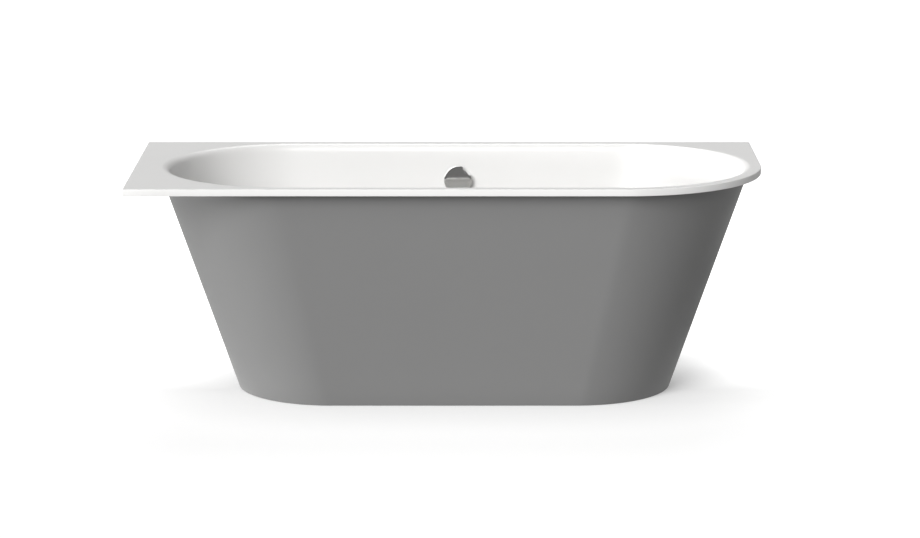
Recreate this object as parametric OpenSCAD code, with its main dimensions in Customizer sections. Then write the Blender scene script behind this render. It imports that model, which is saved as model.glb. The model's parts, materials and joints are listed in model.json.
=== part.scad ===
// Bath for a wall and a left-hand corner: a flat white rim with one rounded free corner,
// an oval basin, a tapered one-piece apron, a levelling cradle, and a pop-up waste and overflow.
// Millimetres. X runs along the wall, -Y faces the room, Z is up from the floor.

/* [Rim] */
// Length of the rim along the long wall
rim_length = 1700; // [1600:10:1800]
// Depth of the rim from the wall to the front edge
rim_depth = 750; // [740:5:800]
// Height of the rim's top above the floor
rim_height = 610; // [600:5:650]
// Height of the rim's upright face
lip_drop = 18; // [12:1:30]
// Radius of the rim's free front corner
corner_radius = 380; // [340:5:420]
// Wall thickness of the white shell
shell_wall = 5; // [4:0.5:6]

/* [Basin] */
// Deck between the side wall and the basin
deck_left = 81; // [70:1:110]
// Deck between the basin and the free end
deck_right = 37; // [34:1:60]
// Deck between the basin and the front edge
deck_front = 38; // [34:1:50]
// Deck between the basin and the long wall
deck_back = 38; // [34:1:50]
// Depth of the basin below the rim
basin_depth = 430; // [400:5:440]
// Radius of the basin's upper edge
edge_radius = 12; // [8:1:16]
// Slope of the two backrests from upright, in degrees
end_slope = 24; // [22:1:28]
// Slope of the two long sides from upright, in degrees
side_slope = 10; // [9:0.5:14]
// Radius between backrest and floor
end_fillet = 150; // [120:5:180]
// Radius between long side and floor
side_fillet = 100; // [80:5:110]
// Fall of the floor towards the waste
drain_fall = 4; // [0:1:6]

/* [Apron] */
// Apron's outer face beyond the basin's left edge, under the deck
apron_out_left = 17; // [10:1:30]
// Apron's outer face beyond the basin's right edge, under the deck
apron_out_right = 5; // [5:1:16]
// Apron's outer face beyond the basin's front edge, under the deck
apron_out_front = 11; // [8:1:18]
// Slope of the apron's ends from upright, in degrees
apron_end_slope = 19.2; // [16:0.2:20]
// Slope of the apron's front from upright, in degrees
apron_front_slope = 8.1; // [6:0.1:9]
// Wall thickness of the apron
apron_wall = 4; // [3:0.5:4]
// Width of the flange that stiffens each back edge of the apron
apron_return = 25; // [15:1:40]
// Joint between the apron and the floor, for sealant
floor_joint = 1; // [0.5:0.5:3]

/* [Cradle] */
// Thickness of the board under the basin's floor
board_h = 15; // [12:1:18]
// Edge of the board inside the flat of the floor
board_margin = 12; // [5:1:30]
// Distance between the two cross rails
rail_spacing = 600; // [500:10:660]
// Width and height of a cross rail's box section
rail_size = 30; // [25:1:32]
// Wall thickness of a cross rail
rail_wall = 2; // [1.5:0.5:3]
// Distance between the feet of one rail
foot_spacing = 370; // [350:5:380]
// Radius of a foot's threaded stud
stud_r = 6; // [5:0.5:6]
// Radius of a foot's pad
pad_r = 25; // [20:1:30]
// Height of a foot's pad
pad_h = 14; // [12:1:20]
// Stud above the top of the rail
stud_over = 8; // [6:1:9]

/* [Waste and overflow] */
// Distance of waste and overflow right of the rim's middle
fittings_x = 26; // [-40:1:60]
// Depth of the overflow's middle below the rim
overflow_depth = 98; // [94:1:130]
// Radius of the waste hole and of the overflow hole
hole_r = 26; // [25:0.5:27]
// Radius of the chrome ring in the basin's floor
waste_ring_r = 35; // [33:1:38]
// Radius of the plug's cap
plug_r = 30; // [28:1:31]
// Lift of the plug when it is open
plug_lift = 10; // [8:1:10]
// Radius of the overflow's turning cover
knob_r = 39; // [36:0.5:42]
// Thickness of the turning cover
knob_h = 12; // [8:1:16]
// Water gap between the turning cover and the wall
knob_gap = 10; // [7:1:14]
// Radius of the finger notch in the turning cover
notch_r = 20.5; // [12:0.5:22]
// Depth of the finger notch
notch_depth = 10.8; // [6:0.2:12]
// Outer radius of the overflow hose
hose_r = 15; // [13:0.5:16]
// Wall of the overflow hose
hose_wall = 3.5; // [2:0.5:4]
// Radius of the hose's bend at its middle
bend_r = 80; // [60:5:90]
// Outer radius of the outlet pipe
pipe_r = 20; // [16:1:20]
// Distance of the outlet pipe's end from the wall
pipe_end_gap = 20; // [0:5:60]
// Space between the trap and the floor
trap_floor_gap = 8; // [6:1:15]

/* [Wall hooks] */
// Distance between the two hooks on the long wall
hook_spacing = 900; // [600:50:1200]
// Width of a hook
hook_w = 40; // [25:5:60]
// Thickness of a hook's steel
hook_t = 3; // [2:0.5:4]
// Radius of the screw hole in a hook
hook_hole_r = 3.5; // [2.5:0.5:4.5]

/* [Hidden] */
// Running fit between a pin and its bore, and the gap between parts that only meet
fit = 0.05;
meet = 0.3;
// Overrun of a cut past the face that it opens
cut = 1;
// Steps in a quarter turn of the faceted forms, and the fineness of true circles
quarter_steps = 18;
edge_steps = 5;
floor_steps = 8;
floor_turn = 72;
bend_steps = 12;
hose_sides = 20;
cable_sides = 12;
$fn = 64;

// The basin's outline at the rim
basin_half_l = (rim_length - deck_left - deck_right) / 2;
basin_half_w = (rim_depth - deck_front - deck_back) / 2;
basin_x = (deck_left - deck_right) / 2;
basin_y = (deck_front - deck_back) / 2;
deck_under = rim_height - shell_wall;
drain_z = rim_height - basin_depth - drain_fall;
under_z = drain_z - shell_wall;

// The apron's outline under the deck
apron_half_l = basin_half_l + (apron_out_left + apron_out_right) / 2;
apron_half_w = basin_half_w + apron_out_front;
apron_x = basin_x + (apron_out_right - apron_out_left) / 2;
apron_back_gap = 1;
apron_back = rim_depth / 2 - shell_wall - apron_back_gap;

// Wall of the basin, seen in a cut: a rounded edge, a straight slope and a fillet into the floor
function slope_run(d, r, a) = r * cos(a) + (d - r * (1 - sin(a))) * tan(a);
function floor_run(r, f, a, depth) = slope_run(depth - f, r, a) + f / cos(a);
function wall_run(d, r, f, a, depth) =
    d < r * (1 - sin(a)) ? r * sin(acos(1 - d / r))
    : d > depth - f * (1 - sin(a)) ? floor_run(r, f, a, depth) - sqrt(f * f - pow(d - depth + f, 2))
    : slope_run(d, r, a);

// Closed outline with two half-round ends, as points
function oval(half_l, half_w, x, y, z) = [
    for (side = [1, -1]) for (i = [-quarter_steps:quarter_steps])
        let (t = i * 90 / quarter_steps)
        [x + side * (half_l - half_w + half_w * cos(t)), y + side * half_w * sin(t), z]];

// Solid through a stack of outlines, from the lowest to the highest
module loft(rings) {
    n = len(rings[0]);
    top = n * (len(rings) - 1);
    sides = [for (k = [0:len(rings) - 2]) for (i = [0:n - 1])
        let (a = k * n + i, b = k * n + (i + 1) % n)
        each [[a, a + n, b + n], [a, b + n, b]]];
    caps = [[for (i = [0:n - 1]) i], [for (i = [n - 1:-1:0]) top + i]];
    polyhedron([for (r = rings) each r], concat(sides, caps));
}

// Level seat round the waste ring, at the lowest point of the dished floor
dish_flat = 10;
dish_stretch = 1;

// Solid of the basin below a plane; wall is the shell's thickness outside, or zero for the hollow
module basin_solid(plane_z, wall, above, depth) {
    r = edge_radius - wall;
    fe = end_fillet + wall;
    fs = side_fillet + wall;
    start = 90 - min(end_slope, side_slope);
    floor_depths = [for (k = [0:floor_steps])
        depth - max(fe, fs) * (1 - cos(k * floor_turn / floor_steps))];
    edge_depths = [for (k = [edge_steps:-1:1]) r * (1 - cos(start * k / edge_steps))];
    function at_depth(d) = oval(
        basin_half_l - wall_run(d, r, fe, end_slope, depth),
        basin_half_w - wall_run(d, r, fs, side_slope, depth), basin_x, basin_y, plane_z - d);
    seat = waste_ring_r + dish_flat;
    dished = wall == 0 && drain_fall > 0
        ? [oval(seat + dish_stretch, seat, fittings_x, basin_y, plane_z - depth - drain_fall)]
        : [];
    loft(concat(dished, [for (d = floor_depths) at_depth(d)], [for (d = edge_depths) at_depth(d)],
        [at_depth(0)], [oval(basin_half_l, basin_half_w, basin_x, basin_y, plane_z + above)]));
}

// Slab with the rim's outline: three square corners and the rounded free one
module rim_slab(inset, low, high) {
    r = corner_radius;
    translate([-rim_length / 2 + inset, -rim_depth / 2 + inset, low])
        cube([rim_length - r - inset, rim_depth - 2 * inset, high - low]);
    translate([-rim_length / 2 + inset, r - rim_depth / 2, low])
        cube([rim_length - 2 * inset, rim_depth - r - inset, high - low]);
    intersection() {
        translate([rim_length / 2 - r, r - rim_depth / 2, low])
            cylinder(r = r - inset, h = high - low, $fn = 128);
        translate([rim_length / 2 - r - cut, -rim_depth / 2, low]) cube([r + cut, r + cut, high - low]);
    }
}

// Places children at the overflow, with their Z square to the basin's back wall
overflow_y = basin_y + basin_half_w - slope_run(overflow_depth, edge_radius, side_slope);
overflow_z = rim_height - overflow_depth;
module at_overflow() translate([fittings_x, overflow_y, overflow_z])
    rotate([90 - side_slope, 0, 0]) children();
module at_waste() translate([fittings_x, basin_y, 0]) children();

// Ring or tube between two heights
module ring(outer, inner, low, high) translate([0, 0, low]) difference() {
    cylinder(r = outer, h = high - low);
    translate([0, 0, -cut]) cylinder(r = inner, h = high - low + 2 * cut);
}

module tub_shell() color("white") difference() {
    union() {
        difference() {
            rim_slab(0, rim_height - lip_drop, rim_height);
            rim_slab(shell_wall, rim_height - lip_drop - cut, deck_under);
        }
        basin_solid(deck_under, shell_wall, shell_wall / 2, basin_depth + drain_fall);
    }
    basin_solid(rim_height, 0, cut, basin_depth);
    at_waste() translate([0, 0, under_z - cut]) cylinder(r = hole_r, h = shell_wall + 2 * cut);
    at_overflow() translate([0, 0, -shell_wall - cut]) cylinder(r = hole_r, h = shell_wall + 2 * cut);
}

// Half length and half width of the apron's outer face at a height
function apron_l(z) = apron_half_l - (deck_under - z) * tan(apron_end_slope);
function apron_w(z) = apron_half_w - (deck_under - z) * tan(apron_front_slope);
// One face of the apron at a height, from its left back flange round the front to its right one
function apron_path(z, wall) =
    let (l = apron_l(z) - wall, r = apron_w(z) - wall, c = l - r, tip = apron_l(z) - apron_return)
    concat([[apron_x - tip, apron_back - wall, z], [apron_x - l, apron_back - wall, z]],
        [for (i = [0:quarter_steps]) let (t = 180 + i * 90 / quarter_steps)
            [apron_x - c + r * cos(t), basin_y + r * sin(t), z]],
        [for (i = [0:quarter_steps]) let (t = 270 + i * 90 / quarter_steps)
            [apron_x + c + r * cos(t), basin_y + r * sin(t), z]],
        [[apron_x + l, apron_back - wall, z], [apron_x + tip, apron_back - wall, z]]);

module apron() {
    faces_at = [apron_path(floor_joint, 0), apron_path(floor_joint, apron_wall),
        apron_path(deck_under, 0), apron_path(deck_under, apron_wall)];
    n = len(faces_at[0]);
    // Point i of the low outer, low inner, high outer and high inner face
    function lo(i) = i;
    function li(i) = n + i;
    function ho(i) = 2 * n + i;
    function hi(i) = 3 * n + i;
    skins = [for (i = [0:n - 2]) each [
        [lo(i), ho(i), ho(i + 1)], [lo(i), ho(i + 1), lo(i + 1)],
        [li(i), hi(i + 1), hi(i)], [li(i), li(i + 1), hi(i + 1)],
        [ho(i), hi(i), hi(i + 1)], [ho(i), hi(i + 1), ho(i + 1)],
        [lo(i), lo(i + 1), li(i + 1)], [lo(i), li(i + 1), li(i)]]];
    ends = [[li(0), hi(0), ho(0)], [li(0), ho(0), lo(0)],
        [lo(n - 1), ho(n - 1), hi(n - 1)], [lo(n - 1), hi(n - 1), li(n - 1)]];
    color("gray") polyhedron([for (f = faces_at) each f], concat(skins, ends));
}

// Cradle under the floor: board, two cross rails and their screws
floor_half_l = basin_half_l - floor_run(edge_radius - shell_wall, end_fillet + shell_wall,
    end_slope, basin_depth + drain_fall);
floor_half_w = basin_half_w - floor_run(edge_radius - shell_wall, side_fillet + shell_wall,
    side_slope, basin_depth + drain_fall);
board_half_w = floor_half_w - board_margin;
board_straight = floor_half_l - floor_half_w;
board_z = under_z - board_h;
board_hole_gap = 5;
waste_flange_w = 17;
waste_flange_r = hole_r + waste_flange_w;
rail_z = board_z - rail_size;
rail_past_foot = 20;
rail_xs = [basin_x - rail_spacing / 2, basin_x + rail_spacing / 2];
screw_r = 2.25;
screw_head_r = 4.5;
screw_head_h = 3;
screw_head_gap = 1.5;
screw_bite = 12;
screw_edge = 29.5;
screw_spacing = 65;
screw_far = board_half_w - screw_edge;
screw_near = screw_far - screw_spacing;
screw_ys = [-screw_far, -screw_near, screw_near, screw_far];
foot_half = foot_spacing / 2;
rail_back = foot_half + rail_past_foot;

// Steel angles that tie the rails' front ends to the apron; each bolt stands at a fixed share of
// the way from the rail's end to the front foot, in the middle of the angle's lap
bracket_w = 40;
bracket_t = 3;
bracket_h = 40;
bracket_reach = 36;
bolt_share = 0.2976;
bracket_y = -(apron_w(board_z) - apron_wall) + basin_y + meet;
rail_front = bracket_y + bracket_reach;
bolt_r = 3;
bolt_len = 12;
bolt_head_r = 5.8;
bolt_head_h = 4;
bracket_lap = 2 * bolt_share * (basin_y - foot_half - rail_front);
bolt_y = rail_front + bracket_lap / 2;
stud_gap = 1;

module base_board() color("burlywood") difference() {
    translate([basin_x, basin_y, board_z]) {
        translate([-board_straight, -board_half_w, 0])
            cube([2 * board_straight, 2 * board_half_w, board_h]);
        for (s = [-1, 1]) translate([s * board_straight, 0, 0]) cylinder(r = board_half_w, h = board_h);
    }
    at_waste() translate([0, 0, board_z - cut])
        cylinder(r = waste_flange_r + board_hole_gap, h = board_h + 2 * cut);
    for (x = rail_xs) for (y = screw_ys) translate([x, basin_y + y, board_z - cut])
        cylinder(r = screw_r + fit, h = screw_bite + 2 * cut);
    for (side = [0, 1]) for (row = [-1, 1]) foot_place(side, row) translate([0, 0, board_z - cut])
        cylinder(r = stud_r + stud_gap, h = board_h + 2 * cut);
}

module rail(x) color("silver") difference() {
    translate([x - rail_size / 2, rail_front, rail_z])
        cube([rail_size, basin_y + rail_back - rail_front, rail_size]);
    translate([x - rail_size / 2 + rail_wall, rail_front - cut, rail_z + rail_wall])
        cube([rail_size - 2 * rail_wall, basin_y + rail_back - rail_front + 2 * cut,
            rail_size - 2 * rail_wall]);
    for (s = [-1, 1]) translate([x, basin_y + s * foot_half, rail_z - cut]) {
        cylinder(r = stud_r + fit, h = rail_size / 2);
        translate([0, 0, rail_size / 2]) cylinder(r = stud_r + stud_gap, h = rail_size / 2 + 2 * cut);
    }
    for (y = screw_ys) translate([x, basin_y + y, rail_z - cut]) {
        cylinder(r = screw_head_r + screw_head_gap, h = rail_size / 2);
        cylinder(r = screw_r + fit, h = rail_size + 2 * cut);
    }
    translate([x, bolt_y, board_z - rail_size / 2]) cylinder(r = bolt_r + fit, h = rail_size);
}
module rail_left() rail(rail_xs[0]);
module rail_right() rail(rail_xs[1]);

module rail_screws() color("gainsboro") for (x = rail_xs) for (y = screw_ys)
    translate([x, basin_y + y, board_z - rail_wall]) {
        translate([0, 0, -screw_head_h]) cylinder(r = screw_head_r, h = screw_head_h);
        cylinder(r = screw_r, h = rail_wall + screw_bite);
    }

module bracket(x) color("silver") difference() {
    translate([x - bracket_w / 2, bracket_y, board_z]) {
        cube([bracket_w, bracket_reach + bracket_lap, bracket_t]);
        rotate([apron_front_slope, 0, 0]) cube([bracket_w, bracket_t, bracket_h]);
    }
    translate([x, bolt_y, board_z - cut]) cylinder(r = bolt_r + meet, h = bracket_t + 2 * cut);
}
module bracket_left() bracket(rail_xs[0]);
module bracket_right() bracket(rail_xs[1]);

module bracket_screws() color("gainsboro") for (x = rail_xs) translate([x, bolt_y, board_z]) {
    translate([0, 0, -bolt_len]) cylinder(r = bolt_r, h = bolt_len + bracket_t);
    translate([0, 0, bracket_t]) cylinder(r = bolt_head_r, h = bolt_head_h, $fn = 6);
}

// Levelling feet: a pad with a socket for the stud, and a nut under the rail
socket_z = 6;
pad_chamfer = 1;
pad_rim_h = 5;
pad_slope_h = 8;
pad_root_w = 7;
pad_neck_w = 5;
nut_w = 5;
nut_h = 10;
module foot_place(side, row) translate([rail_xs[side], basin_y + row * foot_half, 0]) children();
module foot_stud(side, row) color("silver") foot_place(side, row)
    translate([0, 0, socket_z]) cylinder(r = stud_r, h = board_z + stud_over - socket_z);
module foot_pad(side, row) color("dimgray") foot_place(side, row) difference() {
    rotate_extrude() polygon([[0, 0], [pad_r - pad_chamfer, 0], [pad_r, pad_chamfer], [pad_r, pad_rim_h],
        [stud_r + pad_root_w, pad_slope_h], [stud_r + pad_neck_w, pad_h], [0, pad_h]]);
    translate([0, 0, socket_z]) cylinder(r = stud_r + fit, h = pad_h);
}
module foot_stud_front_left() foot_stud(0, -1);
module foot_stud_front_right() foot_stud(1, -1);
module foot_stud_back_left() foot_stud(0, 1);
module foot_stud_back_right() foot_stud(1, 1);
module foot_pad_front_left() foot_pad(0, -1);
module foot_pad_front_right() foot_pad(1, -1);
module foot_pad_back_left() foot_pad(0, 1);
module foot_pad_back_right() foot_pad(1, 1);
module foot_nuts() color("gainsboro") for (side = [0, 1]) for (row = [-1, 1]) foot_place(side, row)
    translate([0, 0, rail_z - nut_h]) difference() {
        cylinder(r = stud_r + nut_w, h = nut_h, $fn = 6);
        translate([0, 0, -cut]) cylinder(r = stud_r + fit, h = nut_h + 2 * cut);
    }

// Steel hooks screwed to the walls, which carry the rim from behind its lip
hook_low = 47;
hook_hole_drop = 30;
hook_foot_z = rim_height - lip_drop - meet - hook_t;
hook_hole_z = rim_height - lip_drop - hook_hole_drop;
module hook() color("silver") difference() {
    translate([-hook_w / 2, 0, 0]) {
        translate([0, -shell_wall - meet - hook_t, hook_foot_z])
            cube([hook_w, hook_t, deck_under - hook_foot_z]);
        translate([0, -shell_wall - meet - hook_t, hook_foot_z])
            cube([hook_w, shell_wall + meet + hook_t, hook_t]);
        translate([0, -hook_t, rim_height - lip_drop - hook_low])
            cube([hook_w, hook_t, hook_low - meet]);
    }
    translate([0, cut, hook_hole_z]) rotate([90, 0, 0]) cylinder(r = hook_hole_r, h = hook_t + 2 * cut);
}
module wall_hook_left() translate([-hook_spacing / 2, rim_depth / 2, 0]) hook();
module wall_hook_right() translate([hook_spacing / 2, rim_depth / 2, 0]) hook();
module wall_hook_side() translate([-rim_length / 2, 0, 0]) rotate([0, 0, 90]) hook();

// Waste: ring, seal, body with its spindle chamber, and the pop-up plug
ring_h = 2.5;
ring_chamfer = 1;
ring_funnel = 2.5;
tail_gap = 0.5;
tail_wall = 3.5;
tail_r = hole_r - tail_gap;
tail_bore = tail_r - tail_wall;
tail_len = 26;
hub_r = 8;
hub_h = 5;
hub_drop = 24;
hub_low = drain_z - hub_drop;
spoke_w = 3;
spoke_lap = 0.5;
stem_r = 4;
seal_h = 2.5;
seal_inset = 2;
seal_gap = 1;
body_flange_h = 4.5;
body_wall = 3;
chamber_r = 28;
chamber_h = 34;
chamber_drop = 28;
chamber_high = drain_z - chamber_drop;
chamber_low = chamber_high - chamber_h;
inlet_z = (chamber_low + chamber_high) / 2;
dip_r = 25;
dip_wall = 4;
dip_gap = 9;
trap_wall = 3;
dip_low = trap_floor_gap + trap_wall + dip_gap;

// Three spokes from a hub out to the bore of a ring
module spokes(from_r, low, h) for (a = [30, 150, 270]) rotate([0, 0, a])
    translate([from_r - spoke_lap, -spoke_w / 2, low])
        cube([tail_bore - from_r + 2 * spoke_lap, spoke_w, h]);

module waste_ring() color("lightgray") at_waste() {
    rotate_extrude() polygon([[tail_bore, drain_z - tail_len], [tail_r, drain_z - tail_len],
        [tail_r, drain_z], [waste_ring_r, drain_z], [waste_ring_r, drain_z + ring_h - ring_chamfer],
        [waste_ring_r - ring_chamfer, drain_z + ring_h], [tail_bore + ring_funnel, drain_z + ring_h],
        [tail_bore, drain_z]]);
    ring(hub_r, stem_r + fit, hub_low, hub_low + hub_h);
    spokes(hub_r, hub_low, hub_h);
}
module waste_seal() color("black") at_waste()
    ring(waste_flange_r - seal_inset, hole_r + seal_gap, under_z - seal_h, under_z);

// Spigot that a hose is pushed over, along +Z from a wall, with its collar, and the cable's gland
loose = 0.1;
wire_r = 1.2;
cable_r = 3;
collar_w = 3;
collar_t = 4;
collar_r = hose_r + collar_w;
spigot_wall = 3;
spigot_len = 24;
spigot_r = hose_r - hose_wall - meet;
spigot_bore = spigot_r - spigot_wall;
gland_side = 12;
gland_root = 12;
gland_len = 12;
gland_wall = 2;
gland_x = hose_r + gland_side;
module spigot(start, collar_at) {
    translate([0, 0, start]) cylinder(r = spigot_r, h = collar_at + spigot_len - start);
    translate([0, 0, collar_at - collar_t]) cylinder(r = collar_r, h = collar_t);
    translate([gland_x, 0, gland_root])
        cylinder(r = cable_r + gland_wall, h = collar_at + gland_len - gland_root);
}
module spigot_bores(start, collar_at) {
    translate([0, 0, start]) cylinder(r = spigot_bore, h = collar_at + spigot_len + cut - start);
    translate([gland_x, 0, collar_at]) cylinder(r = cable_r + loose, h = gland_len + cut);
    translate([gland_x, 0, 0]) cylinder(r = wire_r, h = collar_at + cut);
}

waste_collar = 38;
waste_hose_start = waste_collar + meet;
module waste_body() color("whitesmoke") difference() {
    union() {
        at_waste() rotate_extrude() polygon([[0, dip_low], [dip_r, dip_low],
            [dip_r, chamber_low - body_wall], [chamber_r + body_wall, chamber_low - body_wall],
            [chamber_r + body_wall, under_z - seal_h - body_flange_h],
            [waste_flange_r, under_z - seal_h - body_flange_h], [waste_flange_r, under_z - seal_h],
            [0, under_z - seal_h]]);
        at_waste() translate([0, 0, inlet_z]) rotate([-90, 0, 0]) spigot(chamber_r, waste_collar);
    }
    at_waste() {
        translate([0, 0, chamber_high - cut])
            cylinder(r = tail_r + fit, h = under_z - chamber_high + 2 * cut);
        translate([0, 0, chamber_low]) cylinder(r = chamber_r, h = chamber_h);
        translate([0, 0, dip_low - cut]) cylinder(r = dip_r - dip_wall, h = chamber_low - dip_low + 2 * cut);
        translate([0, 0, inlet_z]) rotate([-90, 0, 0]) spigot_bores(chamber_r - body_wall, waste_collar);
        crank_axis(crank_pin_l + 2 * cut, crank_pin_r + pin_hold);
    }
}

// The plug: cap, seal and stem, closed at rest
cap_low = drain_z + ring_h + meet;
cap_h = 3;
cap_chamfer = 1;
cap_crown = 4;
cap_steps = 12;
crown_inset = 0.6;
crown_r = plug_r - crown_inset;
neck_gap = 4;
neck_drop = 5;
neck_r = tail_bore - neck_gap;
neck_low = drain_z - neck_drop;
groove_depth = 2;
groove_drop = 3.5;
groove_low = drain_z - groove_drop;
plug_seal_h = 3;
module plug_cap() color("lightgray") at_waste() difference() {
    rotate_extrude() polygon(concat([[0, neck_low], [neck_r, neck_low], [neck_r, cap_low],
        [plug_r, cap_low], [plug_r, cap_low + cap_h - cap_chamfer]],
        [for (i = [0:cap_steps]) let (r = crown_r * (1 - i / cap_steps))
            [r, cap_low + cap_h + cap_crown * (1 - pow(r / crown_r, 2))]]));
    ring(neck_r + cut, neck_r - groove_depth, groove_low, groove_low + plug_seal_h);
}
module plug_seal() color("black") at_waste()
    ring(tail_bore - meet, neck_r - groove_depth, groove_low, groove_low + plug_seal_h);
crank_tip_r = 4;
stem_rise = 1.3;
stem_low = inlet_z + stem_rise;
module plug_stem() color("silver") at_waste()
    translate([0, 0, stem_low]) cylinder(r = stem_r, h = neck_low - stem_low);

// Bell crank under the stem: its flat arm lifts the stem, its hanging arm takes the cable
crank_turn = 29;
crank_arm = plug_lift / 2 / sin(crank_turn / 2);
crank_down = 14;
crank_y = -crank_arm * cos(crank_turn / 2);
crank_z = stem_low - meet - crank_tip_r + plug_lift / 2;
crank_barrel_r = 4;
crank_barrel_w = 12;
crank_arm_w = 6;
crank_arm_t = 4;
crank_tip_w = 8;
crank_end_r = 3;
crank_wire_r = 1;
crank_pin_r = 2;
pin_hold = 0.02;
crank_pin_l = 46;
// Rod along the crank's axis, at its pivot or below it
module cross_rod(length, r) translate([-length / 2, 0, 0]) rotate([0, 90, 0]) cylinder(r = r, h = length);
module crank_axis(length, r) translate([0, crank_y, crank_z]) cross_rod(length, r);
module lift_crank() color("silver") at_waste() translate([0, crank_y, crank_z])
    rotate([-crank_turn / 2, 0, 0]) difference() {
        union() {
            cross_rod(crank_barrel_w, crank_barrel_r);
            translate([-crank_arm_w / 2, 0, -crank_arm_t / 2]) cube([crank_arm_w, crank_arm, crank_arm_t]);
            translate([0, crank_arm, 0]) cross_rod(crank_tip_w, crank_tip_r);
            translate([-crank_arm_w / 2, -crank_arm_t / 2, -crank_down])
                cube([crank_arm_w, crank_arm_t, crank_down]);
            translate([0, 0, -crank_down]) cross_rod(crank_arm_w, crank_end_r);
        }
        cross_rod(crank_barrel_w + 2 * cut, crank_pin_r + fit);
        translate([0, 0, -crank_down]) cross_rod(crank_barrel_w, crank_wire_r);
    }
module crank_pin() color("gainsboro") at_waste() crank_axis(crank_pin_l, crank_pin_r);

// Trap under the waste, and the outlet pipe to the wall
cup_r = 46;
trap_drop = 13;
cup_high = chamber_low - body_wall - trap_drop;
cup_collar_w = 4;
cup_collar_h = 5;
dip_clear = 0.2;
trap_seal_h = 2;
outlet_wall = 3.4;
outlet_drop = 2;
outlet_z = cup_high - pipe_r - outlet_drop;
outlet_start = 40;
outlet_reach = 85;
outlet_lap = 50;
pipe_wall = 2.8;
pipe_step = 1;
pipe_fit_r = pipe_r - pipe_step;
module trap_cup() color("whitesmoke") at_waste() difference() {
    union() {
        translate([0, 0, trap_floor_gap]) cylinder(r = cup_r, h = cup_high - trap_floor_gap);
        cylinder_up(dip_r + cup_collar_w, cup_high - cut, cup_high + cup_collar_h);
        translate([0, outlet_start, outlet_z]) rotate([-90, 0, 0])
            cylinder(r = pipe_r + outlet_wall, h = outlet_reach - outlet_start);
    }
    translate([0, 0, trap_floor_gap + trap_wall])
        cylinder(r = cup_r - trap_wall, h = cup_high - trap_floor_gap - 2 * trap_wall);
    cylinder_up(dip_r + dip_clear, cup_high - trap_wall - cut, cup_high + cup_collar_h + cut);
    translate([0, outlet_start - 2 * trap_wall, outlet_z]) rotate([-90, 0, 0])
        cylinder(r = pipe_fit_r + loose, h = outlet_reach - outlet_start + 2 * trap_wall + cut);
}
module cylinder_up(r, low, high) translate([0, 0, low]) cylinder(r = r, h = high - low);

// Union nuts of the trap: one round the dip tube, one round the outlet pipe
nut_rim = 5;
nut_cap = 4;
nut_low = cup_high + meet;
nut_step = cup_high + cup_collar_h + trap_seal_h;
nut_outer_r = dip_r + cup_collar_w + nut_rim;
module trap_nut() color("whitesmoke") at_waste() {
    ring(nut_outer_r, dip_r + cup_collar_w + loose, nut_low, nut_step);
    ring(nut_outer_r, dip_r + meet, nut_step, nut_step + nut_cap);
}
module trap_seal() color("black") at_waste()
    ring(dip_r + cup_collar_w - dip_clear, dip_r + meet, cup_high + cup_collar_h, nut_step);

// The pipe's turned-down end enters the trap, and its free stretch takes the wall's socket
pipe_end = rim_depth / 2 - pipe_end_gap - basin_y;
nut_clear = 10;
pipe_free = outlet_reach + nut_clear;
outlet_nut_h = 14;
outlet_nut_cap = 5;
outlet_nut_w = 8;
outlet_nut_r = pipe_r + outlet_nut_w;
module outlet_pipe() color("gainsboro") at_waste() translate([0, 0, outlet_z]) rotate([-90, 0, 0]) {
    ring(pipe_fit_r, pipe_r - pipe_wall, outlet_lap, pipe_free);
    ring(pipe_r, pipe_r - pipe_wall, pipe_free, pipe_end);
}
module outlet_nut() color("whitesmoke") at_waste()
    translate([0, outlet_reach - outlet_nut_h, outlet_z]) rotate([-90, 0, 0]) {
        ring(outlet_nut_r, pipe_r + outlet_wall + loose, 0, outlet_nut_h);
        ring(outlet_nut_r, pipe_fit_r + meet, outlet_nut_h, outlet_nut_h + outlet_nut_cap);
    }

// Overflow: ring in the basin, seal and body behind the wall, turning cover on its spindle
over_ring_w = 6;
over_ring_h = 3;
over_seal_w = 10;
over_seal_h = 4;
over_back = -shell_wall - over_seal_h;
over_flange_w = 12;
over_flange_h = 4;
over_cup_r = 34;
over_cup_low = -42;
over_tail_low = -16;
over_hub_r = 8;
over_hub_h = 6;
over_hose_w = -26;
spindle_r = 3.5;
drum_high = -20;
drum_h = 8;
drum_edge = 2;
drum_hold = 0.01;
drum_edge_w = 3;
drum_r = crank_down * crank_turn / 90;
module overflow_ring() color("lightgray") at_overflow() {
    rotate_extrude() polygon([[tail_bore, over_tail_low], [tail_r, over_tail_low], [tail_r, 0],
        [hole_r + over_ring_w, 0], [hole_r + over_ring_w, over_ring_h], [tail_bore, over_ring_h]]);
    ring(over_hub_r, spindle_r + fit, over_tail_low, over_tail_low + over_hub_h);
    spokes(over_hub_r, over_tail_low, over_hub_h);
}
module overflow_seal() color("black") at_overflow()
    ring(hole_r + over_seal_w, hole_r + seal_gap, over_back, -shell_wall);

over_collar_out = 7;
over_shoulder = 2;
over_collar = over_cup_r + over_collar_out;
over_hose_start = over_collar + meet;
module overflow_body() color("whitesmoke") at_overflow() difference() {
    union() {
        cylinder_up(hole_r + over_flange_w, over_back - over_flange_h, over_back);
        cylinder_up(over_cup_r, over_cup_low, over_back);
        translate([0, 0, over_hose_w]) rotate([90, 0, 0]) spigot(over_cup_r - body_wall, over_collar);
    }
    cylinder_up(over_cup_r - body_wall, over_cup_low + body_wall,
        over_tail_low - over_shoulder);
    cylinder_up(tail_r + fit, over_tail_low - body_wall, over_back + cut);
    translate([0, 0, over_hose_w]) rotate([90, 0, 0])
        spigot_bores(over_cup_r - 2 * body_wall, over_collar);
}

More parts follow.
